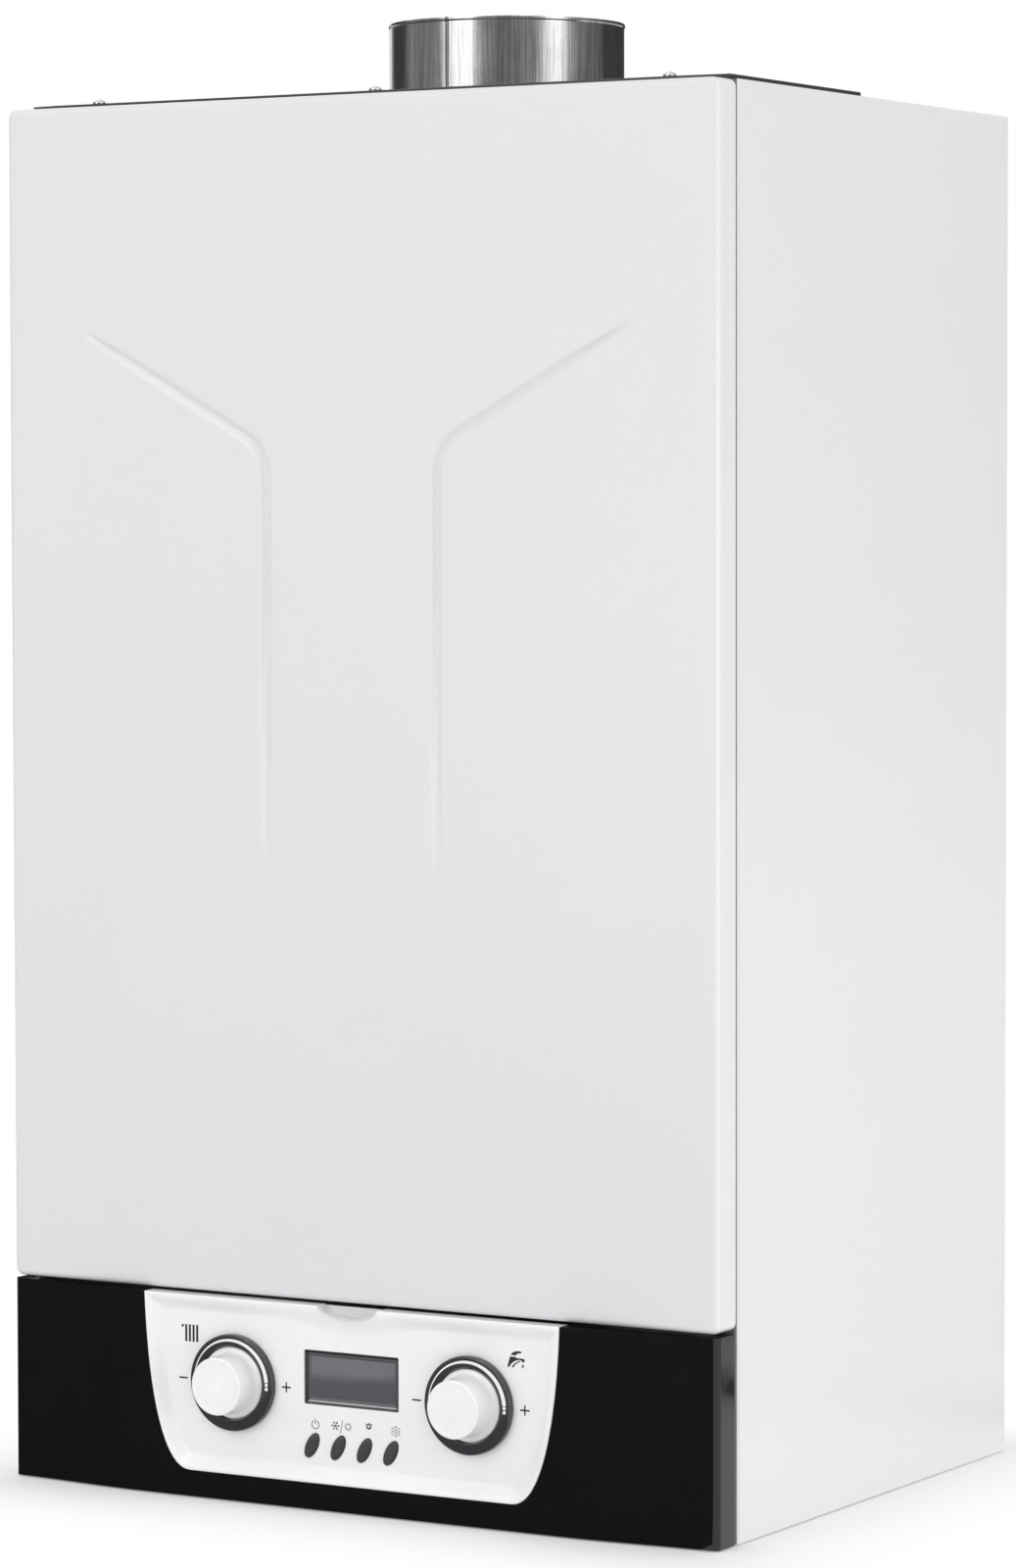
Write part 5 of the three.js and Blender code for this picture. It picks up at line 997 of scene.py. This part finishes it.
for name, ink_name, tone, shapes in (("marks_dark", "printed_ink", INK, dark_marks),
                                     ("marks_pale", "printed_pale_ink", PALE_INK, pale_marks)):
    prints = [prism(name, shape, FIELD_Y - INK_PROUD, FIELD_Y + INK_SUNK) for shape in shapes]
    ink = moulded(ink_name, tone, 0.45, 0.000005, 0.0003)
    settled(joined(*prints), ink, "control_fascia", "button_grey", angle=30)


# Front panel: one sheet, deep drawn with rounded edges and two pressed lines, satin white.
# The lines bend like a Y's arms and fade out into the sheet at both ends.
# Its folds close on the side panels' front edges, and screws hold it there.
# The front's white is the sides' coat made darker, as painted shade against the stronger light on the front.
FRONT_WHITE_SHADED = (0.728, 0.738, 0.75)
FRONT_Y, SHEET, FOLD = -154.0, 1.2, 18.2
PANEL_LOW, PANEL_HIGH, HALF = 106.5, 720.0, 211.5
CORNER, EDGE = 4.5, 3.5
COLUMNS, ROWS = 52, 76
TIP, BEND, FOOT = Vector((165, 604)), Vector((51, 542)), Vector((51, 296))
BEND_REACH = 14
FOOT_FADE, TIP_FADE, TIP_TAPER = 200, 20, 50
LINE_DEPTH, LINE_REACH = 1.6, 4.5
GROOVE_FLOOR, GROOVE_SIDE = 0.8, 2.5
LINES_X, LINES_Z = (28, 188), (280, 622)
FINER_WITHIN = (16, 9, 5.5)


def line_stops():
    """The pressed line's course from its foot to its tip, eased at its bend."""
    before = BEND - Vector((0, BEND_REACH))
    after = BEND + (TIP - BEND).normalized() * BEND_REACH
    stops = [FOOT, before]
    for t in (0.25, 0.5, 0.75):
        stops.append(before * (1 - t) ** 2 + BEND * (2 * t * (1 - t)) + after * t ** 2)
    return stops + [after, TIP]


STOPS = line_stops()
LINE_LENGTH = sum((b - a).length for a, b in zip(STOPS, STOPS[1:]))


def along_line(x, z):
    """Distance in millimetres from the pressed line, how deep it is there, and how wide."""
    place = Vector((abs(x), z))
    nearest, gone = 1e9, 0
    run = 0
    for a, b in zip(STOPS, STOPS[1:]):
        step = b - a
        t = max(0, min(1, (place - a).dot(step) / step.length_squared))
        away = (place - a - step * t).length
        if away < nearest:
            nearest, gone = away, run + step.length * t
        run += step.length
    foot = min(1, gone / FOOT_FADE)
    tip = LINE_LENGTH - gone
    deep = foot * foot * (3 - 2 * foot) * min(1, tip / TIP_FADE)
    return nearest, deep, 0.35 + 0.65 * min(1, tip / TIP_TAPER)


def near_lines(place):
    """Whether a point of the sheet's face lies in the field of the pressed lines."""
    in_field = LINES_X[0] < abs(place.x) < LINES_X[1] and LINES_Z[0] < place.z < LINES_Z[1]
    return abs(place.y - FRONT_Y) < 0.01 and in_field


bpy.ops.object.select_all(action="DESELECT")
bpy.ops.mesh.primitive_grid_add(x_subdivisions=COLUMNS, y_subdivisions=ROWS, size=1,
                                rotation=(math.pi / 2, 0, 0))
front = bpy.context.object
front.name = "front_panel_drawn"
for vertex in front.data.vertices:
    x, y, _ = vertex.co
    height = PANEL_LOW + (y + 0.5) * (PANEL_HIGH - PANEL_LOW)
    vertex.co = Vector((x * 2 * HALF, height, -FRONT_Y)) * MM
bpy.ops.object.transform_apply(location=True, rotation=True, scale=True)
bpy.ops.object.mode_set(mode="EDIT")
bpy.ops.mesh.select_mode(type="EDGE")
shape = bmesh.from_edit_mesh(front.data)
for edge in shape.edges:
    edge.select_set(edge.is_boundary)
bmesh.update_edit_mesh(front.data)
bpy.ops.mesh.extrude_edges_move(TRANSFORM_OT_translate={"value": (0, FOLD * MM, 0)})


def at_corner(edge):
    """Whether an edge is one of the four where the folds meet."""
    ends = [vertex.co / MM for vertex in edge.verts]
    at_side = all(abs(abs(end.x) - HALF) < 0.1 for end in ends)
    return at_side and all(min(abs(end.z - PANEL_LOW), abs(end.z - PANEL_HIGH)) < 0.1 for end in ends)


def round_face(edge):
    """Whether the sheet folds back at an edge of its face."""
    normals = [face.normal for face in edge.link_faces]
    folded = len(normals) == 2 and normals[0].angle(normals[1]) > 1
    return folded and all(abs(vertex.co.y / MM - FRONT_Y) < 0.01 for vertex in edge.verts)


for rule, radius in ((at_corner, CORNER), (round_face, EDGE)):
    bpy.ops.mesh.select_all(action="DESELECT")
    shape = bmesh.from_edit_mesh(front.data)
    for edge in shape.edges:
        edge.select_set(rule(edge))
    bmesh.update_edit_mesh(front.data)
    bpy.ops.mesh.bevel(offset=radius * MM, segments=5, affect="EDGES")
for reach in FINER_WITHIN:
    bpy.ops.mesh.select_all(action="DESELECT")
    bpy.ops.mesh.select_mode(type="FACE")
    shape = bmesh.from_edit_mesh(front.data)
    for face in shape.faces:
        middle = face.calc_center_median() / MM
        face.select_set(near_lines(middle) and along_line(middle.x, middle.z)[0] < reach)
    bmesh.update_edit_mesh(front.data)
    bpy.ops.mesh.subdivide(number_cuts=1)
bpy.ops.object.mode_set(mode="OBJECT")
for vertex in front.data.vertices:
    place = vertex.co / MM
    if near_lines(place):
        away, deep, wide = along_line(place.x, place.z)
        if away < LINE_REACH:
            slope = min(1, max(0, away / wide - GROOVE_FLOOR) / GROOVE_SIDE)
            groove = 0.5 + 0.5 * math.cos(math.pi * slope)
            vertex.co.y += LINE_DEPTH * groove * deep * MM
bpy.ops.object.mode_set(mode="EDIT")
bpy.ops.mesh.select_all(action="SELECT")
bpy.ops.mesh.normals_make_consistent(inside=False)
bpy.ops.object.mode_set(mode="OBJECT")
outward = sum((polygon.normal.y * polygon.area for polygon in front.data.polygons), 0.0)
if outward > 0:
    front.data.flip_normals()
applied(front, "SOLIDIFY", thickness=SHEET * MM, offset=-1)
front_coat = powder_coat("powder_coat_front", FRONT_WHITE_SHADED, 0.0012, 0.32)
settled(front, front_coat, "front_cover", "panel_white", "front_panel", angle=60)


# Floor under the boiler: a studio's pale paper sweep, which keeps the boiler's shadow near it.
# Polished parts mirror it white, with dark cloth before the boiler and in strips behind it.
PAPER_LOW, PAPER_HIGH, CLOTH = (0.9, 0.9, 0.9), (0.92, 0.92, 0.92), (0.02, 0.02, 0.02)
HALF_WIDE, HALF_DEEP = 0.21, 0.17
STRIP_START, STRIP_END, BACK_START = 0.252, 0.318, 0.44
floor = Finish("floor_pale", Roughness=0.9, Specular_IOR_Level=0.1)
bpy.ops.mesh.primitive_plane_add(size=12, location=(0, 0, -0.0008))
ground = bpy.context.object
ground.name = "floor"
ground.data.materials.append(floor.material)
ways = floor.tree.nodes.new("ShaderNodeLightPath").outputs
RAYS = ("Is Camera Ray", "Is Glossy Ray", "Is Transmission Ray")
seen, mirrored, through = (Wire(floor.tree, ways[ray]) for ray in RAYS)
paper_tone = floor.place.noise(0.4, 2).over(PAPER_LOW, PAPER_HIGH)
across, ahead, up = floor.place.axes()
beyond = across.sum("MAXIMUM", abs(across) - HALF_WIDE, abs(ahead) - HALF_DEEP)
far = beyond.ramp(-0.06, 0.1)
strip = ahead.above(STRIP_START) * ahead.below(STRIP_END)
edge = ahead.sum("MAXIMUM", strip, ahead.above(BACK_START) * 0.5)
before = ahead.ramp(0.15, -0.1) * across.below(0.2)
cloth = mirrored * (1 - seen) * ahead.sum("MAXIMUM", before, edge)
white = seen.sum("MAXIMUM", seen * far, seen.sum("MAXIMUM", mirrored * (1 - cloth), through))
floor.feed("Base Color", cloth.over(paper_tone, CLOTH))
glow = floor.tree.nodes.new("ShaderNodeEmission")
blend = floor.tree.nodes.new("ShaderNodeMixShader")
floor.tree.links.new(white.socket, blend.inputs[0])
floor.tree.links.new(floor.shader.outputs[0], blend.inputs[1])
floor.tree.links.new(glow.outputs[0], blend.inputs[2])
floor.tree.links.new(blend.outputs[0], floor.tree.nodes["Material Output"].inputs[0])

# Studio: an even white room, seen as white behind the boiler and lighting it from all sides.
# Polished parts mirror a dark room instead, with upright white cards in it.
# Each card has the direction of its middle and its half width in degrees, and its brightness.
CARDS = ((-107, 14, 2.0), (-12, 14, 1.3), (138, 5, 1.2), (-150, 24, 0.22), (-60, 30, 0.2), (22, 22, 0.14))
ROOM_DARK, CEILING, ROOM_LIGHT = 0.05, 1.1, 1.08
world = bpy.data.worlds.new("studio")
bpy.context.scene.world = world
world.use_nodes = True
sky = world.node_tree
sky.nodes.clear()
ways = sky.nodes.new("ShaderNodeLightPath").outputs
seen, mirrored, through = (Wire(sky, ways[ray]) for ray in RAYS)
direction = Wire(sky, sky.nodes.new("ShaderNodeTexCoord").outputs["Generated"])
side, ahead, up = direction.axes()
shown = direction.sum("MAXIMUM", seen, through)
mirror = mirrored * (1 - seen)
around = direction.sum("ARCTAN2", ahead, side)


def card(middle, half, bright):
    """A white card that stands upright in the room in that direction, for polished parts to mirror."""
    return abs(around - math.radians(middle)).ramp(math.radians(half + 7), math.radians(half - 5)) * bright


cards = sum((card(*measures) for measures in CARDS), ROOM_DARK)
cards = cards * up.ramp(0.03, 0.055) + up.ramp(0.25, 0.6) * CEILING
room = sky.nodes.new("ShaderNodeBackground")
room.inputs["Strength"].default_value = ROOM_LIGHT
paper = sky.nodes.new("ShaderNodeBackground")
paper.inputs["Color"].default_value = (1, 1, 1, 1)
strength = mirror * (cards - 1) + 1
sky.links.new(strength.socket, paper.inputs["Strength"])
choice = sky.nodes.new("ShaderNodeMixShader")
sky.links.new(direction.sum("MAXIMUM", shown, mirror).socket, choice.inputs[0])
sky.links.new(room.outputs[0], choice.inputs[1])
sky.links.new(paper.outputs[0], choice.inputs[2])
sky.links.new(choice.outputs[0], sky.nodes.new("ShaderNodeOutputWorld").inputs["Surface"])


def lamp(name, place, aim, width, height, power, mirrored=True):
    """A softbox at a place, aimed at another, which polished parts can mirror or not."""
    data = bpy.data.lights.new(name, "AREA")
    data.shape = "RECTANGLE"
    data.size, data.size_y = width, height
    data.energy = power
    holder = bpy.data.objects.new(name, data)
    bpy.context.scene.collection.objects.link(holder)
    holder.location = place
    holder.visible_glossy = mirrored
    holder.rotation_euler = (Vector(aim) - Vector(place)).to_track_quat("-Z", "Y").to_euler()


lamp("softbox_front", (-1.0, -2.6, 1.9), (0, 0, 0.45), 1.4, 1.4, 12, False)
lamp("softbox_side", (2.4, -0.5, 0.35), (0.2, 0, 0.1), 1.0, 0.7, 10)
lamp("softbox_low", (-0.5, -2.2, 0.35), (0, -0.15, 0.07), 1.0, 0.5, 3)

# Camera: a long lens to the boiler's right, a little above its middle.
# Its place and turn are fitted to the casing's straight edges in the photograph.
PLACE = (1.4469, -2.4473, 0.5122)
YAW, PITCH, ROLL = (math.radians(angle) for angle in (30.5616, -2.968, -0.1173))
lens = bpy.data.cameras.new("camera")
lens.sensor_width = 36
lens.lens = 122.94
lens.clip_start = 0.1
camera = bpy.data.objects.new("camera", lens)
bpy.context.scene.collection.objects.link(camera)
tilt = Matrix.Rotation(math.pi / 2 + PITCH, 4, "X")
turn = Matrix.Rotation(YAW, 4, "Z") @ tilt @ Matrix.Rotation(ROLL, 4, "Z")
camera.matrix_world = Matrix.Translation(PLACE) @ turn
bpy.context.scene.camera = camera
bpy.context.scene.view_settings.view_transform = "Standard"
